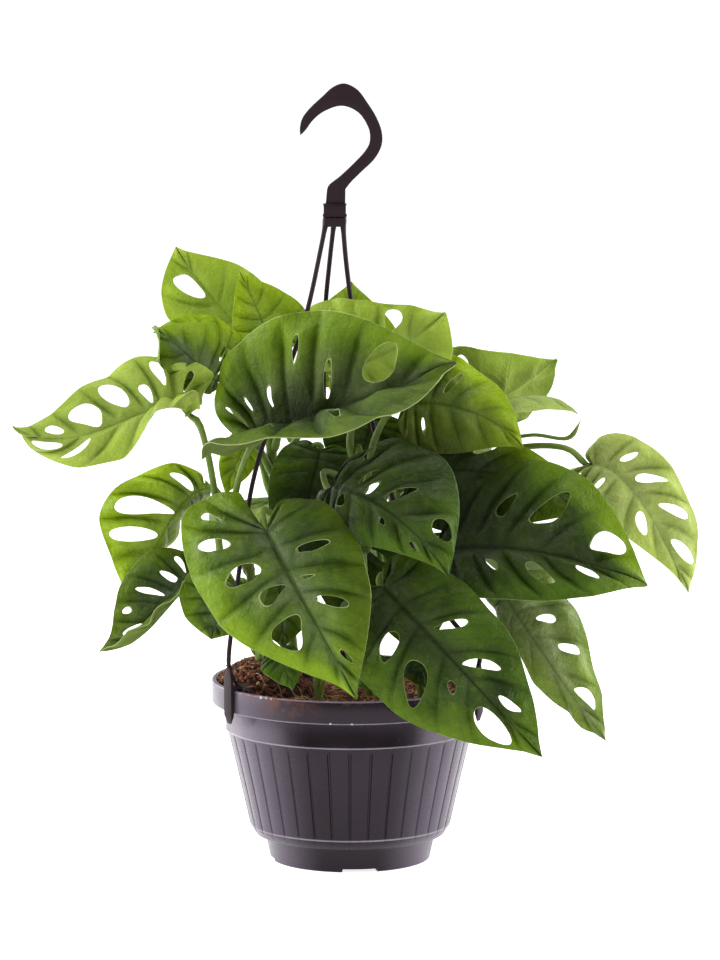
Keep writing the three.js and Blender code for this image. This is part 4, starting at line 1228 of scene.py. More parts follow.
        holes=(((2, 0.3, 0.6, 0.4),), ((2, 0.4, 0.85, 0.6), (4, 0.4, 0.88, 0.5)))),
    LeafShape(
        "inner_left", Tone.DEEP, "back_left", 244, via=((-34, 20, 272), (-24, 17, 284)),
        midrib=((-21, 14, 280), (-25, 4, 260), (-34, 0, 232), (-41, 2, 194)),
        facing=((0, -0.95, 0.3), (-0.1, -1, 0.1)), widths=((30, 30, 30, 30), (34, 37, 36, 32))),
    LeafShape(
        "inner_top", Tone.DEEP, "back_right", 244, via=((27, 30, 270), (19, 29, 290)),
        midrib=((15, 26, 302), (11, 24, 288), (7, 23, 272), (3, 23, 254)),
        facing=((0, -0.95, 0.3), (0, -1, 0.1)), widths=((32, 32, 32, 32), (32, 32, 32, 30))),
    LeafShape(
        "inner_tip", Tone.BRIGHT, "back_left", 250, via=((-61, 33, 270), (-68, 35, 286)),
        midrib=((-70, 31, 288), (-76, 28, 275), (-82, 26, 262), (-86, 26, 248)),
        facing=((-0.1, -0.95, 0.3), (-0.1, -1, 0.1)), widths=((13, 13, 13, 13), (13, 13, 13, 13))),
    LeafShape(
        "inner_middle", Tone.DEEP, "back_right", 196, via=((17, 31, 226), (12, 25, 241)),
        midrib=((8, 17, 236), (4, 12, 214), (0, 12, 188), (-6, 16, 152)),
        facing=((0, -0.95, 0.3), (0, -1, 0.1)), widths=((34, 34, 34, 34), (32, 32, 32, 32)),
        holes=(((3, 0.3, 0.7, 0.3),), ((4, 0.25, 0.7, 0.35),))),
    LeafShape(
        "inner_low_left", Tone.MID, "left", 168, via=((-56, 6, 190), (-51, 13, 196)),
        midrib=((-49, 14, 192), (-47, 6, 178), (-46, 4, 162), (-46, 4, 144)),
        facing=((0, -0.95, 0.3), (0, -1, 0.1)), widths=((26, 26, 26, 26), (24, 24, 24, 24))),
    LeafShape(
        "inner_low_right", Tone.MID, "right", 158, via=((42, -4, 184), (41, 6, 196)),
        midrib=((40, 8, 192), (42, 2, 176), (45, -2, 160), (48, -2, 140)),
        facing=((0, -0.95, 0.3), (0, -1, 0.1)), widths=((26, 26, 26, 26), (26, 26, 26, 26))),
    LeafShape(
        "back_top", Tone.MID, "back_left", 262, via=((-32, 44, 292), (-22, 56, 302)),
        midrib=((-18, 62, 300), (-22, 92, 306), (-34, 126, 296), (-44, 152, 268)),
        facing=((-0.1, 0.3, 0.95), (-0.1, 0.75, 0.65)), widths=((40, 40, 40, 40), (40, 40, 40, 40)),
        holes=(((3, 0.25, 0.7, 0.5), (5, 0.25, 0.8, 0.6)), ((2, 0.3, 0.6, 0.5), (4, 0.25, 0.75, 0.5)))),
    LeafShape(
        "back_right", Tone.MID, "back_right", 240, via=((38, 56, 262), (42, 66, 276)),
        midrib=((44, 74, 276), (56, 104, 282), (74, 134, 270), (86, 156, 238)),
        facing=((0.2, 0.3, 0.95), (0.2, 0.75, 0.6)), widths=((42, 42, 42, 42), (42, 42, 42, 42)),
        holes=(((3, 0.25, 0.7, 0.5), (5, 0.25, 0.8, 0.6)), ((3, 0.25, 0.6, 0.5), (5, 0.25, 0.75, 0.6)))),
    LeafShape(
        "back_left", Tone.MID, "back_left", 206, via=((-50, 56, 236), (-50, 68, 244)),
        midrib=((-50, 74, 240), (-58, 104, 240), (-70, 134, 222), (-78, 150, 184)),
        facing=((-0.3, 0.3, 0.9), (-0.3, 0.8, 0.5)), widths=((44, 44, 44, 44), (44, 44, 44, 44)),
        holes=(((2, 0.3, 0.65, 0.5), (4, 0.25, 0.8, 0.6)), ((3, 0.25, 0.6, 0.5), (5, 0.25, 0.75, 0.6)))),
    LeafShape(
        "back_low", Tone.DEEP, "back_right", 176, via=((28, 60, 206), (34, 74, 215)),
        midrib=((36, 82, 212), (40, 110, 210), (46, 138, 190), (50, 154, 150)),
        facing=((0, 0.3, 0.95), (0, 0.85, 0.45)), widths=((36, 36, 36, 36), (36, 36, 36, 36)),
        holes=(((3, 0.25, 0.7, 0.5), (5, 0.25, 0.8, 0.6)), ((2, 0.3, 0.6, 0.5), (4, 0.25, 0.75, 0.5)))),
    LeafShape(
        "back_low_right", Tone.DEEP, "back_right", 204, via=((52, 46, 222), (68, 52, 226)),
        midrib=((76, 56, 222), (96, 78, 220), (118, 104, 196), (130, 122, 158)),
        facing=((0.4, 0.2, 0.9), (0.5, 0.65, 0.55)), widths=((42, 42, 42, 42), (42, 42, 42, 42)),
        holes=(((3, 0.25, 0.7, 0.5), (5, 0.25, 0.8, 0.6)), ((3, 0.25, 0.6, 0.5),))),
    LeafShape(
        "back_side_right", Tone.MID, "back_right", 218, via=((60, 38, 240), (82, 40, 252)),
        midrib=((94, 44, 254), (120, 58, 264), (146, 76, 256), (166, 92, 236)),
        facing=((0.2, 0, 1), (0.4, 0.3, 0.85)), widths=((32, 32, 32, 32), (32, 32, 32, 32)),
        holes=(((3, 0.25, 0.7, 0.5),), ((4, 0.25, 0.75, 0.5),))),
    LeafShape(
        "soil_left", Tone.DEEP, "left", 142, via=((-56, -30, 152), (-53, -50, 158)),
        midrib=((-50, -60, 152), (-46, -68, 150), (-42, -76, 142), (-38, -82, 131)),
        facing=((-0.1, -0.7, 0.7),), widths=((15, 15, 15, 15), (15, 15, 15, 15)), stalk_radius=1.3),
    LeafShape(
        "soil_middle", Tone.DEEP, "front", 126, via=((-10, -46, 142), (-4, -54, 146)),
        midrib=((0, -58, 144), (12, -66, 144), (24, -72, 138), (36, -76, 128)),
        facing=((0, -0.75, 0.65),), widths=((15, 15, 15, 15), (15, 15, 15, 15)), stalk_radius=1.3),
    LeafShape(
        "soil_right", Tone.DEEP, "right", 126, via=((46, -44, 146), (44, -50, 152)),
        midrib=((42, -54, 152), (45, -60, 150), (50, -66, 141), (55, -70, 128)),
        facing=((0, -0.8, 0.6),), widths=((16, 16, 16, 16), (16, 16, 16, 16)), stalk_radius=1.3),
)


class LeafBlade:
    """A leaf's blade: a fine lattice on the leaf's surface, with its holes, ribs and quilting.

    ROWS are the lattice's places out along a side vein, COLUMNS its places across a strip and RINGS the
    steps from a strip's border to its hole. CORNER is where the lattice's corners go on the hole's
    outline, SKEW how much wider a hole's end can be, and RIPPLES are the lengths of the ripples.
    """

    UV = "veins"
    RIM = "rim"
    UNDER = "under"
    # the painted light and shade, and the painted sky sheen, that the finish reads
    LIGHT = "light"
    SKY_SHEEN = "sky_sheen"
    ROWS = (0, 0.03, 0.075, 0.15, 0.26, 0.39, 0.53, 0.67, 0.81, 0.93, 0.985, 1)
    COLUMNS = (0, 0.12, 0.5, 0.88, 1)
    RINGS = (0.05, 0.35, 0.66, 0.88, 1)
    CORNER = math.radians(66)
    SKEW = (0.15, 0.4)
    RIPPLES = (34, 27, 21, 16, 12, 9)
    RUFFLES = 5.5
    USUAL_WIDTH = 55
    THICKNESS = 0.75
    ON_MIDRIB = 1e-6
    OFF_MIDRIB = 1e-4
    AT_TIP = 0.9999

    def __init__(self, shape: LeafShape) -> None:
        """Starts an empty lattice.

        Args:
            shape: the leaf's shape.
        """
        self.shape = shape
        self.chance = random.Random(shape.name)
        self.known: dict[tuple, int] = {}
        self.spots: list[tuple[int, float, float, float, float]] = []
        self.faces: list[list[int]] = []

    def _spot(self, half: int, f: float, v: float, lane: float, rim: float) -> int:
        """Gives the number of a lattice point, which both halves share on the midrib.

        Args:
            half: 0 for the right half and 1 for the left.
            f: its place round the margin from the notch to the tip.
            v: its place out along the side vein.
            lane: its strip, plus its place across the strip.
            rim: 1 at the margin or a hole's rim, and 0 elsewhere.

        Returns:
            The number, which is new for a point that isn't known yet.
        """
        key = (2, round(f, 5), 0) if v < self.ON_MIDRIB else (half, round(f, 5), round(v, 5))
        if f > self.AT_TIP:
            key = (2, 1, 0)
        if key not in self.known:
            self.known[key] = len(self.spots)
            self.spots.append((half, f, v, lane, rim))
        return self.known[key]

    def _face(self, half: int, *corners: int) -> None:
        """Adds a face that looks up, if its corners aren't too few.

        Args:
            half: 0 for the right half and 1 for the left.
            corners: the numbers of its points, which can be doubled.
        """
        ring = [c for i, c in enumerate(corners) if c != corners[i - 1]]
        if len(ring) > 2:
            self.faces.append(ring if half == 0 else ring[::-1])

    def _plain(self, strip: Strip) -> None:
        """Fills a strip that has no hole.

        Args:
            strip: the strip.
        """
        half, number, low, high = strip
        grid = [[self._spot(half, low + (high - low) * c, v, number + c, float(v == 1)) for v in self.ROWS]
                for c in self.COLUMNS]
        for near, far in zip(grid, grid[1:]):
            for j in range(len(self.ROWS) - 1):
                self._face(half, near[j], near[j + 1], far[j + 1], far[j])

    def _border(self) -> list[tuple[float, ...]]:
        """Walks round a strip.

        Returns:
            For each border point its place across and out, and both as numbers from -1 to 1.
        """
        rows, columns = len(self.ROWS) - 1, len(self.COLUMNS) - 1
        border = [(0.0, self.ROWS[j], -1, 2 * j / rows - 1) for j in range(rows)]
        border += [(self.COLUMNS[i], 1.0, 2 * i / columns - 1, 1) for i in range(columns)]
        border += [(1.0, self.ROWS[rows - j], 1, 1 - 2 * j / rows) for j in range(rows)]
        return border + [(self.COLUMNS[columns - i], 0.0, 1 - 2 * i / columns, -1) for i in range(columns)]

    def _opening(self, border: list[tuple[float, ...]], hole: Hole) -> list[Pair]:
        """Draws a hole's uneven outline.

        Args:
            border: the points round its strip.
            hole: the hole.

        Returns:
            For each border point its counterpart on the outline: its place across and out.
        """
        fill = hole.fill * self.shape.slim
        middle = 0.5 + hole.shift * (1 - fill) / 2
        phase = self.chance.uniform(0, FULL_TURN)
        skew = self.chance.choice((-1, 1)) * self.chance.uniform(*self.SKEW)
        opening = []
        for _, _, y, x in border:
            if abs(y) == 1:
                across, out = y * math.cos(x * self.CORNER), math.sin(x * self.CORNER)
            else:
                angle = y * (math.pi / 2 - self.CORNER)
                across, out = math.sin(angle), x * math.cos(angle)
            angle = math.atan2(across, out)
            grow = 1 + 0.07 * math.sin(3 * angle + phase)
            opening.append((middle + across * fill / 2 * grow * (1 + skew * out),
                            (hole.start + hole.end) / 2 + out * (hole.end - hole.start) / 2 * grow))
        return opening

    def _pierced(self, strip: Strip, hole: Hole) -> None:
        """Fills a strip with rings of faces round its hole.

        Args:
            strip: the strip.
            hole: the hole in it.
        """
        half, number, low, high = strip
        border = self._border()
        opening = self._opening(border, hole)
        width = high - low
        before = [self._spot(half, low + c * width, v, number + c, float(v == 1)) for c, v, _, _ in border]
        for ring in self.RINGS:
            rim = float(ring == 1)
            now = []
            for (c, v, _, _), (far_c, far_v) in zip(border, opening):
                c, v = c + (far_c - c) * ring, v + (far_v - v) * ring
                now.append(self._spot(half, low + c * width, max(v, self.OFF_MIDRIB), number + c, rim))
            for i in range(len(border)):
                j = (i + 1) % len(border)
                self._face(half, before[i], before[j], now[j], now[i])
            before = now

    def _ripples(self, points: np.ndarray) -> np.ndarray:
        """Gives each point a small seeded rise, made of waves that run all ways.

        Args:
            points: the places, in millimetres.

        Returns:
            The rise at each.
        """
        rise = np.zeros(len(points))
        for length in self.RIPPLES:
            way = np.array([self.chance.gauss(0, 1) for _ in range(3)])
            way *= 2 * math.pi / (length * np.linalg.norm(way))
            rise += length / 20 * np.sin(points @ way + self.chance.uniform(0, FULL_TURN))
        return rise * self.shape.crinkle / 2

    def _layers(self) -> tuple[np.ndarray, ...]:
        """Places the upper and the lower layer of the lattice.

        Returns:
            The upper points, the lower points, the lattice table and how lit each point is.
        """
        table = np.array(self.spots)
        half, f, v, lane = table[:, 0], table[:, 1], table[:, 2], table[:, 3]
        point, normal = np.zeros((len(table), 3)), np.zeros((len(table), 3))
        reach, x = np.zeros(len(table)), np.zeros(len(table))
        for side in (0, 1):
            own = half == side
            point[own], normal[own], reach[own], x[own] = self.shape.surface(side, f[own], v[own])
        size = max(max(w) for w in self.shape.widths) / self.USUAL_WIDTH
        bulge = 1 - np.abs(2 * (lane % 1) - 1) ** 3
        swell = bulge * eased(v, 0, 0.3) * (1 - 0.7 * eased(v, 0.7, 1))
        taper = np.sqrt(np.clip(1.05 - x, 0.05, 1))
        groove = np.exp(-((reach / (1.3 * size + 0.3)) ** 2)) * taper
        ripples = self._ripples(point) * eased(reach, 0, 8)
        lift = ripples + self.shape.quilt * size * (swell - 0.4 * eased(v, 0, 0.3))
        phases = np.array([self.chance.uniform(0, FULL_TURN) for _ in (0, 1)])[half.astype(int)]
        waves = np.sin(2 * np.pi * self.RUFFLES * f + phases)
        lift += self.shape.ruffle * size * eased(v, 0.55, 1) * taper * waves
        vein = (1 - bulge) ** 2 * eased(v, 0, 0.1) * (1 - eased(v, 0.8, 1))
        top = point + normal * (lift - 0.8 * groove * size + self.THICKNESS / 2)[:, None]
        rib = 1.1 * groove * size + 0.3 * vein
        bottom = point + normal * (lift - rib - self.THICKNESS / 2)[:, None]
        # painted light and shade along the blade and towards its margins
        stalk, tip, *margins = self.shape.lit
        light = stalk + (tip - stalk) * np.clip(x, 0, 1)
        light += np.array(margins)[half.astype(int)] * eased(v, 0.3, 1)
        return top, bottom, table, light

    def build(self) -> bpy.types.Object:
        """Makes the closed blade, with its vein map and the numbers that its finish reads.

        Returns:
            The blade.
        """
        shape = self.shape
        for half in (0, 1):
            for number, (low, high) in enumerate(zip(shape.cuts, shape.cuts[1:])):
                strip = Strip(half, number, low, high)
                hole = next((Hole(*h) for h in shape.holes[half] if h[0] == number), None)
                if hole:
                    self._pierced(strip, hole)
                else:
                    self._plain(strip)
        top, bottom, table, light = self._layers()
        count = len(table)
        faces = [*self.faces, *([c + count for c in ring[::-1]] for ring in self.faces)]
        edges = {(ring[i - 1], corner) for ring in self.faces for i, corner in enumerate(ring)}
        faces += [[b, a, a + count, b + count] for a, b in sorted(edges) if (b, a) not in edges]

        piece = Bench.faced(f"leaf_{shape.name}_blade", np.vstack([top, bottom]), faces)
        mesh = piece.data
        spots = np.zeros(len(mesh.loops), int)
        mesh.loops.foreach_get("vertex_index", spots)
        pairs = table[spots % count][:, [3, 2]]
        mesh.uv_layers.new(name=self.UV).data.foreach_set("uv", pairs.astype(np.float32).ravel())
        numbers = {self.RIM: np.tile(table[:, 4], 2), self.UNDER: np.repeat([0.0, 1.0], count),
                   self.LIGHT: np.tile(light, 2), self.SKY_SHEEN: np.full(2 * count, shape.sky_sheen)}
        for name, column in numbers.items():
            mesh.attributes.new(name, "FLOAT", "POINT").data.foreach_set("value", column.astype(np.float32))
        Bench.clean(piece, outward=False)
        Bench.apply(piece, "SUBSURF", levels=1, render_levels=1)
        Bench.shade(piece)
        return piece


@dataclass(frozen=True)
class Stem:
    """A stem's radius and its three points, from in the soil upwards."""

    SHEATH = (-7, 3)

    radius: float
    points: list[Point]

    def beside(self, height: float, target: Point, stalk_radius: float) -> list[Point]:
        """Gives a stalk's first two points, where its sheath lies against this stem.

        Args:
            height: how high the stalk leaves the stem.
            target: the point that it heads for.
            stalk_radius: its radius.

        Returns:
            A point low in the sheath, and one where the stalk comes free of the stem.
        """
        bottom, top = self.points[0][2], self.points[-1][2]
        low, high = (Way(self.points).at((height + z - bottom) / (top - bottom)) for z in self.SHEATH)
        outward = np.array([target[0] - low[0], target[1] - low[1], 0.0])
        outward /= np.linalg.norm(outward)
        start = low + outward * self.radius * 0.45
        free = high + outward * (self.radius + stalk_radius * 0.9)
        return [tuple(start), tuple(free)]


STEMS = {
    "left": Stem(3.4, [(-58, -10, 98), (-64, -9, 160), (-70, -8, 216)]),
    "front": Stem(3.2, [(-20, -35, 98), (-23, -34, 150), (-26, -33, 206)]),
    "middle": Stem(3.6, [(15, -10, 98), (9, -12, 190), (6, -12, 288)]),
    "right": Stem(3.2, [(50, -25, 98), (47, -22, 150), (44, -20, 202)]),
    "back_right": Stem(3.6, [(10, 40, 98), (22, 38, 190), (36, 34, 272)]),
    "back_left": Stem(3.6, [(-35, 35, 98), (-46, 30, 200), (-56, 24, 296)]),
}

FINISHES = {
    Tone.BRIGHT: LeafFinish(
        "leaf_bright", deep=0x526c06, light=0x8aa412, vein=0x425c06, margin=0xa0b030, sheen=0x909c70,
        sheen_share=0.22, under=0x889a44, rim=0xbcc68c),
    Tone.MID: LeafFinish(
        "leaf_mid", deep=0x2c4408, light=0x647e12, vein=0x24380a, margin=0x8ca034, sheen=0x788068,
        sheen_share=0.5, under=0x76864e, rim=0xa8b47c),
    Tone.DEEP: LeafFinish(
        "leaf_deep", deep=0x182806, light=0x425c0c, vein=0x101a05, margin=0x627c1a, sheen=0x465230,
        sheen_share=0.45, under=0x586838, rim=0x8c9c60, rim_share=0.4, gloss=0.36),
    Tone.PALE: LeafFinish(
        "leaf_pale", deep=0x466014, light=0x7e9236, vein=0x425c14, margin=0xa0b060, sheen=0x94a080,
        sheen_share=0.5, under=0x748840, rim=0xbcc898),
}


class Plant:
    """The stems in the soil, and the leaves on their stalks."""

    STEM_STEPS = 74
    STALK_STEPS = 34
    ROLLED_STEPS = 60
    JOINT_GAP = 25

    def __init__(self) -> None:
        """Builds the finishes that the plant's pieces share."""
        self.green = StalkFinish("stem_green", 0x455c18, 0x7c9140, 0x6a5a30).material()
        self.blades = {tone: finish.material() for tone, finish in FINISHES.items()}

    def stem(self, name: str, stem: Stem) -> None:
        """Builds a stem with a swollen, scarred ring at each joint.

        Args:
            name: its name.
            stem: its radius and points.
        """
        places = Way(stem.points).steps(self.STEM_STEPS)
        height = places[:, 2]
        off_joint = (height - height[0] + 9) % self.JOINT_GAP - self.JOINT_GAP / 2
        ring = np.exp(-(off_joint / 1.3) ** 2)
        to_tip = len(places) - 0.6 - np.arange(len(places))
        radii = stem.radius * (0.94 + 0.13 * ring) * np.sqrt(np.clip(to_tip / 3, 0.08, 1))
        rod = Tube(f"stem_{name}_rod", places, radii, ring * 0.55, 3).build()
        Bench.dress(rod, self.green, "stem", f"stem_{name}")

    def stalk(self, shape: LeafShape) -> None:
        """Builds a leaf's stalk, with a sheath at the stem and a swelling under the blade.

        Args:
            shape: the leaf's shape.
        """
        start = STEMS[shape.stem].beside(shape.height, shape.via[0], shape.stalk_radius)
        places = Way(shape.stalk_points(start)).steps(self.STALK_STEPS)
        along = np.linspace(0, 1, self.STALK_STEPS)
        sheath, swelling = np.exp(-along / 0.12), np.exp(-(((along - 0.9) / 0.045) ** 2))
        radii = shape.stalk_radius * (1.08 + 0.3 * sheath - 0.3 * along + 0.16 * swelling)
        radii[:2] *= (0.35, 0.8)
        radii[-3:] *= (0.94, 0.74, 0.4)
        mark = 0.35 * np.exp(-along / 0.03)
        rod = Tube(f"leaf_{shape.name}_stalk", places, radii, mark, 3).build()
        Bench.dress(rod, self.green, "stem", f"leaf_{shape.name}")

    def leaf(self, shape: LeafShape) -> None:
        """Builds a leaf's blade, and its stalk unless it is a loose lobe.

        Args:
            shape: the leaf's shape.
        """
        blade, node = LeafBlade(shape).build(), f"leaf_{shape.lobe_of or shape.name}"
        Bench.dress(blade, self.blades[shape.tone], shape.tone.value, node)
        if not shape.lobe_of:
            self.stalk(shape)

    def rolled_leaf(self) -> None:
        """Builds the leaf that is still rolled up, on its own stalk."""
        start = STEMS["back_right"].beside(241, (100, 20, 0), 1.6)
        way = [*start, (80, 24, 278), (124, 15, 291), (150, 10, 290), (158, 9, 302)]
        places = Way(way).steps(self.ROLLED_STEPS)
        along = np.linspace(0, 1, self.ROLLED_STEPS)
        radii = 1.5 - 0.25 * along + 0.45 * eased(along, 0.86, 0.92) - 1.45 * eased(along, 0.93, 1.0)
        rod = Tube("leaf_rolled_rod", places, np.maximum(radii, 0.15), None, 3).build()
        Bench.dress(rod, self.green, Tone.MID.value, "leaf_rolled")

    def build(self) -> None:
        """Builds the whole plant."""
        for name, stem in STEMS.items():
            self.stem(name, stem)
        for shape in LEAVES:
            self.leaf(shape)
        self.rolled_leaf()


# ---- pot and soil ---------------------------------------------------------------------------


@dataclass
class Pot:
    """The fluted pot with its overhanging collar, foot ring and drain holes.

    Its outside and inside are places on the turned wall, the radius first. flute_turns are a flute's
    vertices as shares of its pitch, and flute_depths how far each is sunk. The inner wall starts at
    wall_foot and widens by wall_slope, and only what lies outside it is fluted.
    """

    flutes: int = 36
    flute_turns: tuple[float, ...] = (0, 0.035, 0.07, 0.2, 0.5, 0.8, 0.93, 0.965)
    flute_depths: tuple[float, ...] = (0.95, 0.8, 0.05, -0.12, -0.25, -0.12, 0.05, 0.8)
    flute_bottom: float = 24
    flute_top: float = 90.6
    wall_foot: Pair = (66.4, 24.5)
    wall_slope: float = 0.2424
    outside: tuple[Pair, ...] = (
        (12, 0), (12, 2.6), (50, 2.6), (50, 0.4), (50.4, 0), (54.3, 0), (54.9, 0.5), (58.2, 15.4),
        (58.8, 16.1), (63.4, 17.3), (65.2, 18.2), (67.9, 22.4), (68.8, 24), (69.2, 25.6), (69.6, 27.4),
        (76.3, 57), (83, 85.6), (83.6, 88), (84, 89.6), (84.3, 90.5), (85.5, 90.7), (86, 91.3), (85.6, 92),
        (85.2, 108.6), (85.7, 109), (93.2, 109), (94.4, 109.5), (95, 110.8), (95, 123.8), (94.7, 124.7),
        (94, 125),
    )
    inside: tuple[Pair, ...] = (
        (92.2, 125), (91.7, 124.6), (91.6, 112), (83.2, 109), (82.6, 92), (74.3, 57), (66.4, 24.5),
        (63, 20), (56.5, 17.5), (53.5, 5), (12, 5),
    )
    drains: int = 5
    drain_radius: float = 4
    drain_circle: float = 32
    drain_depth: float = 20
    drain_sides: int = 32
    notches: int = 4
    notch_turn: float = -0.46 * math.pi
    notch_size: Point = (14, 24, 4.6)
    notch_middle: Point = (55.7, 0, 0)
    notch_bevel: float = 0.6
    weld: float = 0.002
    sharp: float = 32

    def _flute(self, piece: bpy.types.Object) -> None:
        """Gathers the rings' vertices at the flutes and sinks a groove between each two.

        Args:
            piece: the turned pot.
        """
        sides = self.flutes * len(self.flute_turns)
        pitch = 2 * math.pi / self.flutes
        low, high = self.flute_bottom, self.flute_top
        foot_radius, foot_height = self.wall_foot
        for vertex in piece.data.vertices:
            x, y, z = vertex.co
            radius = math.hypot(x, y)
            if radius < 1 * MM:
                continue
            place = round((math.atan2(y, x) % (2 * math.pi)) / (2 * math.pi) * sides) % sides
            flute, turn = divmod(place, len(self.flute_turns))
            angle = (flute + self.flute_turns[turn]) * pitch
            height = np.array(z / MM)
            deep = eased(height, low - 2, low + 3) * (1 - eased(height, high - 3, high - 0.4))
            wall = foot_radius + (z / MM - foot_height) * self.wall_slope
            if radius > 66 * MM and radius / MM > wall + 0.9 and low - 3 < z / MM < high:
                radius -= self.flute_depths[turn] * float(deep) * MM
            vertex.co = (radius * math.cos(angle), radius * math.sin(angle), z)

    def _drain(self, body: bpy.types.Object) -> None:
        """Drills the drain holes.

        Args:
            body: the pot.
        """
        for i in range(self.drains):
            angle = 2 * math.pi * (i + 0.25) / self.drains
            at = (self.drain_circle * MM * math.cos(angle), self.drain_circle * MM * math.sin(angle), 0)
            Bench.grab()
            bpy.ops.mesh.primitive_cylinder_add(vertices=self.drain_sides, radius=self.drain_radius * MM,
                                                depth=self.drain_depth * MM, location=at)
            Bench.drill(body, bpy.context.object)

    def _notch(self, body: bpy.types.Object) -> None:
        """Cuts the notches in the foot ring.

        Args:
            body: the pot.
        """
        for i in range(self.notches):
            notch = Bench.block("notch", self.notch_size, self.notch_middle, self.notch_bevel)
            notch.rotation_euler.z = 2 * math.pi * i / self.notches + self.notch_turn
            Bench.settle(notch)
            Bench.drill(body, notch)

    def build(self) -> None:
        """Turns the pot, flutes it and cuts its drain holes and foot notches."""
        sides = self.flutes * len(self.flute_turns)
        body = Bench.turned("pot_body", [*self.outside, *self.inside], sides)
        self._flute(body)
        self._drain(body)
        self._notch(body)
        Bench.clean(body, self.weld * MM)
        Bench.shade(body, self.sharp)
        # painted reflection on the pot's flanks, and painted highlights along its edges at these heights
        plastic = PlasticFinish("pot_plastic", 0x0e080b, 0x20181e, 0.3, soil=0x5c3a28,
                                edges=(24.4, 91.2, 109.4, 124.8),
                                chips=((-13, 109.6), (1.4, 109.4), (-60, 124.4), (-56.4, 124.7),
                                       (-53, 124.4)))
        Bench.dress(body, plastic.material(), "pot", "pot")


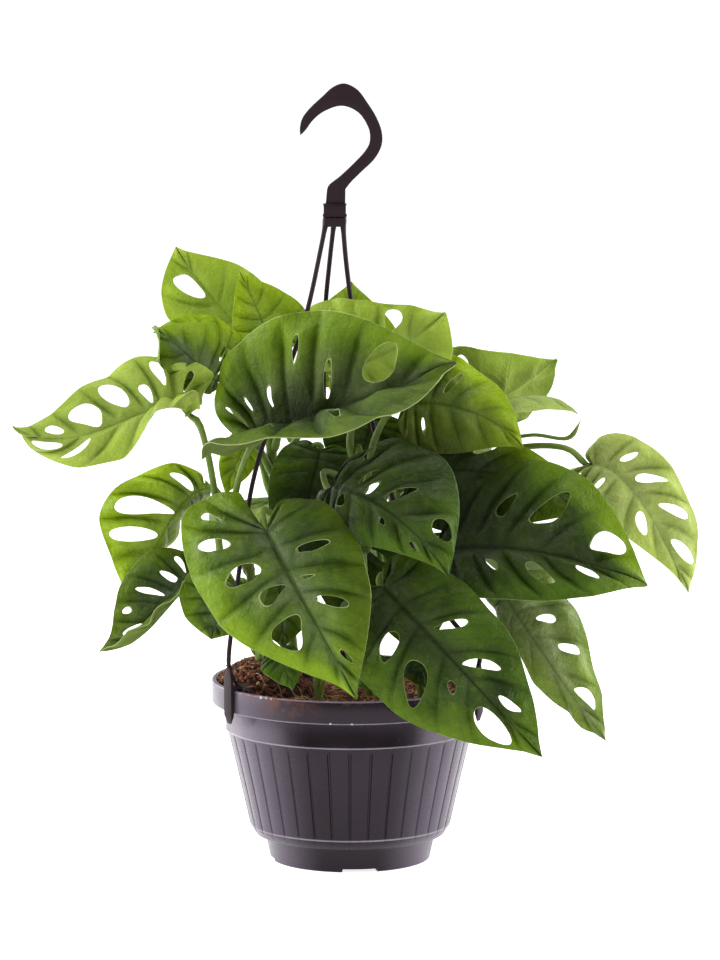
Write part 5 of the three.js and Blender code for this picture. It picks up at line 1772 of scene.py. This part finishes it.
@dataclass
class Soil:
    """The potting mix: a heaped bed, crumbs of bark, and coir fibres.

    The heap is a half ellipsoid and the bank a low mound in front of it. Every slab_every-th crumb is a
    flat piece of bark.
    """

    TINT = "tint"

    level: float = 112
    heap: float = 26.5
    heap_middle: Pair = (-56, -4)
    heap_half: Pair = (37.5, 47)
    bank: float = 8
    bank_middle: Pair = (-34, -62)
    bank_spread: float = 17
    top_rings: int = 20
    rough_radius: float = 90
    crumb_radius: float = 91
    fibre_radius: float = 89.5
    scatter_radius: float = 90.5
    crumbs: int = 4200
    slab_every: int = 9
    fibres: int = 340
    fibre_rings: int = 6
    fibre_sides: int = 3
    chance: random.Random = field(default_factory=lambda: random.Random(11))
    wall: tuple[Pair, ...] = (
        (3, 5.3), (53.2, 5.3), (56.2, 17.5), (62.7, 20), (66.1, 24.5), (74, 57), (82.3, 92), (82.9, 109),
        (91.2, 112),
    )

    def height(self, x: float, y: float) -> float:
        """Gives the bed's height at a place, all in millimetres.

        Args:
            x: how far right the place is.
            y: how far back it is.

        Returns:
            The height.
        """
        away = math.hypot(*((p - m) / h for p, m, h in zip((x, y), self.heap_middle, self.heap_half)))
        heap = self.heap * math.sqrt(max(0.0, 1 - away**2))
        off = math.hypot(x - self.bank_middle[0], y - self.bank_middle[1])
        bank = self.bank * math.exp(-((off / self.bank_spread) ** 2) / 2)
        return self.level + max(heap, bank)

    def bed(self, material: bpy.types.Material) -> None:
        """Turns the bed and heaps its top.

        Args:
            material: its finish.
        """
        edge, _ = self.wall[-1]
        top = [(edge * (1 - i / self.top_rings), self.level) for i in range(1, self.top_rings)]
        bed = Bench.turned("soil_bed", [*self.wall, *top], 120)
        for vertex in bed.data.vertices:
            x, y, z = vertex.co / MM
            if z > self.level - 0.01 and math.hypot(x, y) < self.rough_radius:
                rough = noise.noise(Vector((x, y, 3)) / 7) * 1.5 + noise.noise(Vector((x, y, 9)) / 3) * 0.8
                vertex.co.z = (self.height(x, y) - 0.6 + rough) * MM
        bed.data.attributes.new(self.TINT, "FLOAT", "POINT")
        Bench.shade(bed)
        Bench.dress(bed, material, "soil", "soil", "soil_heap")

    def _scatter(self) -> tuple[float, float]:
        """Picks a place on the bed.

        Returns:
            The place.
        """
        radius = self.scatter_radius * math.sqrt(self.chance.random())
        angle = self.chance.uniform(0, 2 * math.pi)
        return radius * math.cos(angle), radius * math.sin(angle)

    def crumb_pile(self, material: bpy.types.Material) -> None:
        """Copies a small rough lump over the bed in many sizes and turns.

        Args:
            material: its finish.
        """
        Bench.grab()
        bpy.ops.mesh.primitive_ico_sphere_add(subdivisions=1, radius=1)
        lump = bpy.context.object
        corners = np.array([v.co for v in lump.data.vertices])
        sides = np.array([list(p.vertices) for p in lump.data.polygons])
        bpy.data.objects.remove(lump)
        draw = np.random.default_rng(5)
        points, faces, tints = [], [], []
        for i in range(self.crumbs):
            x, y = self._scatter()
            if i % self.slab_every == 0:
                size = np.array([draw.uniform(3, 5.5), draw.uniform(1.2, 2.2), draw.uniform(0.5, 1)])
            else:
                size = draw.uniform(0.6, 1.0, 3) * draw.uniform(0.8, 2.3)
            turn = Euler(draw.uniform(-0.6, 0.6, 2).tolist() + [draw.uniform(0, FULL_TURN)]).to_matrix()
            shaped = (corners * draw.uniform(0.75, 1.25, corners.shape) * size) @ np.array(turn).T
            room = self.crumb_radius - math.hypot(x, y)
            lift = self.height(x, y) + draw.uniform(-0.4, 1.3)
            if room < 3:
                lift -= 0.6
            faces.append(sides + len(corners) * i)
            points.append(shaped + (x, y, lift))
            tints.append(np.full(len(corners), draw.random()))
        self._pile("soil_crumbs", np.vstack(points), np.vstack(faces), np.concatenate(tints), material)

    def fibre_tangle(self, material: bpy.types.Material) -> None:
        """Lays thin bent coir fibres over the bed.

        Args:
            material: their finish.
        """
        draw = np.random.default_rng(8)
        points, faces, tints = [], [], []
        sides, spans, edge = self.fibre_sides, self.fibre_rings - 1, self.fibre_radius
        for i in range(self.fibres):
            x, y = self._scatter()
            length, heading = draw.uniform(7, 20), draw.uniform(0, FULL_TURN)
            bend, radius, rise = draw.uniform(-0.11, 0.11), draw.uniform(0.16, 0.34), draw.uniform(0.2, 2.2)
            start = len(points)
            for k in range(self.fibre_rings):
                share = k / spans
                ahead = heading + bend * length * share
                step = length / spans if k else 0
                x, y = x + math.cos(ahead) * step, y + math.sin(ahead) * step
                if math.hypot(x, y) > edge:
                    x, y = x * edge / math.hypot(x, y), y * edge / math.hypot(x, y)
                z = self.height(x, y) + 1.2 + rise * math.sin(math.pi * share)
                thick = radius * (1 if 0 < k < spans else 0.4)
                for c in range(sides):
                    turn = 2 * math.pi * c / sides
                    side, up = thick * math.cos(turn), thick * math.sin(turn)
                    points.append((x - side * math.sin(ahead), y + side * math.cos(ahead), z + up))
            for k in range(spans):
                for c in range(sides):
                    a, b = start + sides * k + c, start + sides * k + (c + 1) % sides
                    faces.append([a, b, b + sides, a + sides])
            faces += [[start + 2, start + 1, start], list(range(len(points) - sides, len(points)))]
            tints += [draw.uniform(0.55, 1.0)] * (len(points) - start)
        self._pile("soil_fibres", np.array(points), faces, np.array(tints), material)

    def _pile(self, name: str, points: np.ndarray, faces: object, tints: np.ndarray,
              material: bpy.types.Material) -> None:
        """Makes one piece of many loose bits, each with its own tint.

        Args:
            name: its name.
            points: the bits' vertices in millimetres.
            faces: each face's vertex numbers.
            tints: each vertex's tint.
            material: the piece's finish.
        """
        pile = Bench.faced(name, points, [list(map(int, f)) for f in faces])
        column = pile.data.attributes.new(self.TINT, "FLOAT", "POINT").data
        column.foreach_set("value", tints.astype(np.float32))
        Bench.edit(pile)
        bpy.ops.mesh.normals_make_consistent(inside=False)
        bpy.ops.object.mode_set(mode="OBJECT")
        Bench.dress(pile, material, "soil", "soil", "soil_heap")

    def build(self) -> None:
        """Builds the bed, the crumbs and the fibres."""
        dark = SoilFinish("soil_mix", 0x2a140c, 0x8a4f32, 0xc09a72, 0.06).material()
        coir = SoilFinish("soil_coir", 0x5a3220, 0xb07a4c, 0xd8b888, 0.25).material()
        self.bed(dark)
        self.crumb_pile(dark)
        self.fibre_tangle(coir)


# ---- hanger ---------------------------------------------------------------------------------


@dataclass
class Hanger:
    """The hook, its neck and the three strands that clip over the collar.

    The hook's outline runs along its back, across its foot and up its mouth. neck_blocks are what the neck
    is made of: a name, a size, how far its middle is above the foot, and a bevel. A strand has the turn of
    its clip round the pot, in degrees from the front, and its points from the neck down. clip_side and
    fork are the clip's outline and its prong's way, each place a radius and a height.
    """

    STRAND_STEPS = 80
    FORK_STEPS = 12

    hook_back: tuple[Pair, ...] = (
        (-34.5, 496.8), (-35, 502), (-33.5, 509), (-29, 515.5), (-19, 525), (-12, 531.2), (-4, 533.8),
        (5.5, 529.5), (12.5, 520.5), (19, 510), (22.6, 500), (22.6, 491.5), (18, 482), (8, 472), (1, 465),
        (-2, 461),
    )
    hook_mouth: tuple[Pair, ...] = (
        (-16.6, 461), (-15.5, 464), (-7, 471), (2.5, 480), (9, 487), (12, 492), (12.6, 497), (11.6, 502.5),
        (5, 512.5), (-5.5, 516.8), (-18, 512.6), (-25, 506.6), (-29, 501), (-33, 497),
    )
    depth: float = 7
    rail: float = 1.5
    web_slope: float = 0.4
    web_depth: float = 1.0
    neck: Pair = (-10.3, 442.5)
    neck_half: float = 8
    neck_blocks: tuple[tuple[str, Point, float, float], ...] = (
        ("neck_block", (15.2, 8.6, 7), 4.4, 0.6),
        ("neck_lip", (16.4, 9.2, 1.4), 0.9, 0.4),
        ("neck_band", (15.8, 9, 0.9), 8.3, 0.3),
    )
    strand_radius: float = 1.65
    clip_width: float = 10
    clip_radius: float = 96.7
    clip_side: tuple[Pair, ...] = (
        (95.6, 108), (96.4, 102), (97.8, 108), (97.8, 132), (97.6, 141), (95.8, 141), (95.6, 127.6),
        (88.7, 127.6), (88.7, 119), (90.7, 120), (90.7, 125.4), (95.6, 125.4),
    )
    fork: tuple[Pair, ...] = ((96.8, 146), (94.6, 137), (89.8, 127))
    strands: dict[str, tuple[float, list[Point]]] = field(default_factory=lambda: {
        "left": (-58, [(-15.4, 0, 443.6), (-20, -4, 420), (-30, -16, 376), (-49, -30, 320), (-65, -41, 269),
                       (-73, -46, 220), (-79, -50, 175)]),
        "right": (65, [(-5.2, 0, 443.6), (-3, 3, 415), (1, 10, 381), (8, 6, 335), (18, -4, 290),
                       (30, -23, 250), (46, -33, 212), (67, -38, 174)]),
        "back": (183, [(-10.3, 0, 443.6), (-14, 10, 410), (-17, 24, 376), (-18, 31, 318), (-15, 54, 268),
                       (-10, 78, 212)]),
    })

    def hook(self, plastic: bpy.types.Material) -> None:
        """Extrudes the hook, sinks a web between rails on both sides and adds the neck.

        Args:
            plastic: its finish.
        """
        back = Way([(*p, 0) for p in self.hook_back]).steps(64)[:, :2]
        mouth = Way([(*p, 0) for p in self.hook_mouth]).steps(56)[:, :2]
        x, bottom = self.neck
        foot = [(x + self.neck_half, bottom), (x - self.neck_half, bottom)]
        outline = [tuple(p) for p in [*back, *foot, *mouth]]
        arm = Bench.slab("hook_arm", outline, self.depth)
        Bench.edit(arm, "DESELECT")
        bpy.ops.object.mode_set(mode="OBJECT")
        for face in arm.data.polygons:
            face.select = abs(face.normal.y) > 0.9
        bpy.ops.object.mode_set(mode="EDIT")
        bpy.ops.mesh.inset(thickness=self.rail * MM, depth=0)
        bpy.ops.mesh.inset(thickness=self.web_slope * MM, depth=-self.web_depth * MM)
        bpy.ops.object.mode_set(mode="OBJECT")
        Bench.apply(arm, "BEVEL", width=0.35 * MM, segments=2, limit_method="ANGLE", angle_limit=0.7)
        blocks = [Bench.block(name, size, (x, 0, bottom + up), bevel)
                  for name, size, up, bevel in self.neck_blocks]
        hook = Bench.join("hook_body", arm, *blocks)
        Bench.shade(hook, 38)
        Bench.dress(hook, plastic, "hanger", "hook")

    def _clip(self, name: str, turn: float) -> bpy.types.Object:
        """Makes the flat clip that goes over the collar, narrower at its ends.

        Args:
            name: its strand's name.
            turn: where it is round the pot, in degrees from the front.

        Returns:
            The clip.
        """
        clip = Bench.slab(f"clip_{name}", list(self.clip_side), self.clip_width)
        for vertex in clip.data.vertices:
            height = vertex.co.z / MM
            if height > 135:
                vertex.co.y *= 0.42
            elif height < 105:
                vertex.co.y *= 0.55
        Bench.apply(clip, "BEVEL", width=0.4 * MM, segments=2, limit_method="ANGLE", angle_limit=0.6)
        clip.rotation_euler.z = math.radians(turn - 90)
        Bench.settle(clip)
        return clip

    def strand(self, name: str, plastic: bpy.types.Material) -> None:
        """Sweeps a strand from the neck to its clip and joins the clip on.

        Args:
            name: its name.
            plastic: its finish.
        """
        turn, points = self.strands[name]
        angle = math.radians(turn - 90)
        foot = (self.clip_radius * math.cos(angle), self.clip_radius * math.sin(angle))
        places = Way([*points, (*foot, 149), (*foot, 137)]).steps(self.STRAND_STEPS)
        along = np.linspace(0, 1, self.STRAND_STEPS)
        flare = np.exp(-np.maximum(along - 0.016, 0) / 0.008)
        radii = self.strand_radius * (1 + 0.6 * flare - 0.5 * eased(along, 0.975, 1))
        rod = Tube(f"strand_{name}_rod", places, radii, None, 3).build()
        prong = Way([(r * math.cos(angle), r * math.sin(angle), z) for r, z in self.fork])
        thick = np.linspace(1.0, 1.15, self.FORK_STEPS)
        fork = Tube("fork", prong.steps(self.FORK_STEPS), thick, None, 2).build()
        parts = [rod, self._clip(name, turn), fork]
        if name == "back":
            x, top = self.neck
            parts.append(Bench.block("neck_root", (15, 7.4, 6.6), (x, 0, top - 3.5), 1.0))
        strand = Bench.join(f"strand_{name}_rod", *parts)
        Bench.shade(strand, 42)
        Bench.dress(strand, plastic, "hanger", f"strand_{name}")

    def build(self) -> None:
        """Builds the hook and the strands."""
        plastic = PlasticFinish("hanger_plastic", 0x120607, 0x200e10, 0.66).material()
        self.hook(plastic)
        for name in self.strands:
            self.strand(name, plastic)


# ---- studio ---------------------------------------------------------------------------------


@dataclass(frozen=True)
class Softbox:
    """An area light: its place in metres, the point it faces, its width, its height and its power."""

    place: Point
    target: Point
    width: float
    height: float
    power: float

    def build(self) -> None:
        """Adds the light."""
        Bench.grab()
        bpy.ops.object.light_add(type="AREA", location=self.place)
        light = bpy.context.object
        light.data.shape = "RECTANGLE"
        light.data.size = self.width
        light.data.size_y = self.height
        light.data.energy = self.power
        toward = Vector(self.target) - Vector(self.place)
        light.rotation_euler = toward.to_track_quat("-Z", "Y").to_euler()


@dataclass
class Studio:
    """The pale floor, the soft light round the plant and the camera."""

    aim: Point = (0.0068, 0.0, 0.262)
    eye: Point = (0.0068, -3.5, 0.744)
    lens: float = 193.8
    sky: float = 0.36
    boxes: tuple[Softbox, ...] = (
        Softbox((-0.2, 0.5, 2.3), (0, 0, 0.25), 1.8, 1.8, 42),
        Softbox((-2.1, 0.55, 0.9), (0, 0, 0.2), 3.7, 1.8, 104),
        Softbox((2.1, 0.55, 0.9), (0, 0, 0.2), 3.7, 1.8, 100),
        Softbox((-0.6, -3.0, 2.6), (0, 0, 0.2), 1.6, 1.6, 34),
    )

    def build(self) -> None:
        """Builds the floor, the light and the camera."""
        Bench.grab()
        bpy.ops.mesh.primitive_plane_add(size=60, location=(0, 0, 0))
        floor = bpy.context.object
        floor.name = "floor"
        floor.data.materials.append(FloorFinish("floor_paper", 0xd0d0d0, 0.82).material())
        world = bpy.data.worlds.new("studio_air")
        world.use_nodes = True
        air = world.node_tree.nodes["Background"]
        air.inputs["Color"].default_value = (1, 1, 1, 1)
        air.inputs["Strength"].default_value = self.sky
        bpy.context.scene.world = world
        for box in self.boxes:
            box.build()
        bpy.ops.object.camera_add(location=self.eye)
        camera = bpy.context.object
        camera.data.lens = self.lens
        camera.data.clip_end = 100
        toward = Vector(self.aim) - Vector(self.eye)
        camera.rotation_euler = toward.to_track_quat("-Z", "Y").to_euler()
        bpy.context.scene.camera = camera
        bpy.context.scene.view_settings.view_transform = "Standard"


def corners(box: object) -> list[list[float]]:
    """Gives a box as plain lists of numbers."""
    return [[float(n) for n in corner] for corner in box]


def main() -> None:
    """Builds the scene round the frame."""
    logging.basicConfig(level=logging.INFO, format="%(message)s")
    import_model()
    Pot().build()
    Soil().build()
    Plant().build()
    Hanger().build()
    Studio().build()


if __name__ == "__main__":
    main()
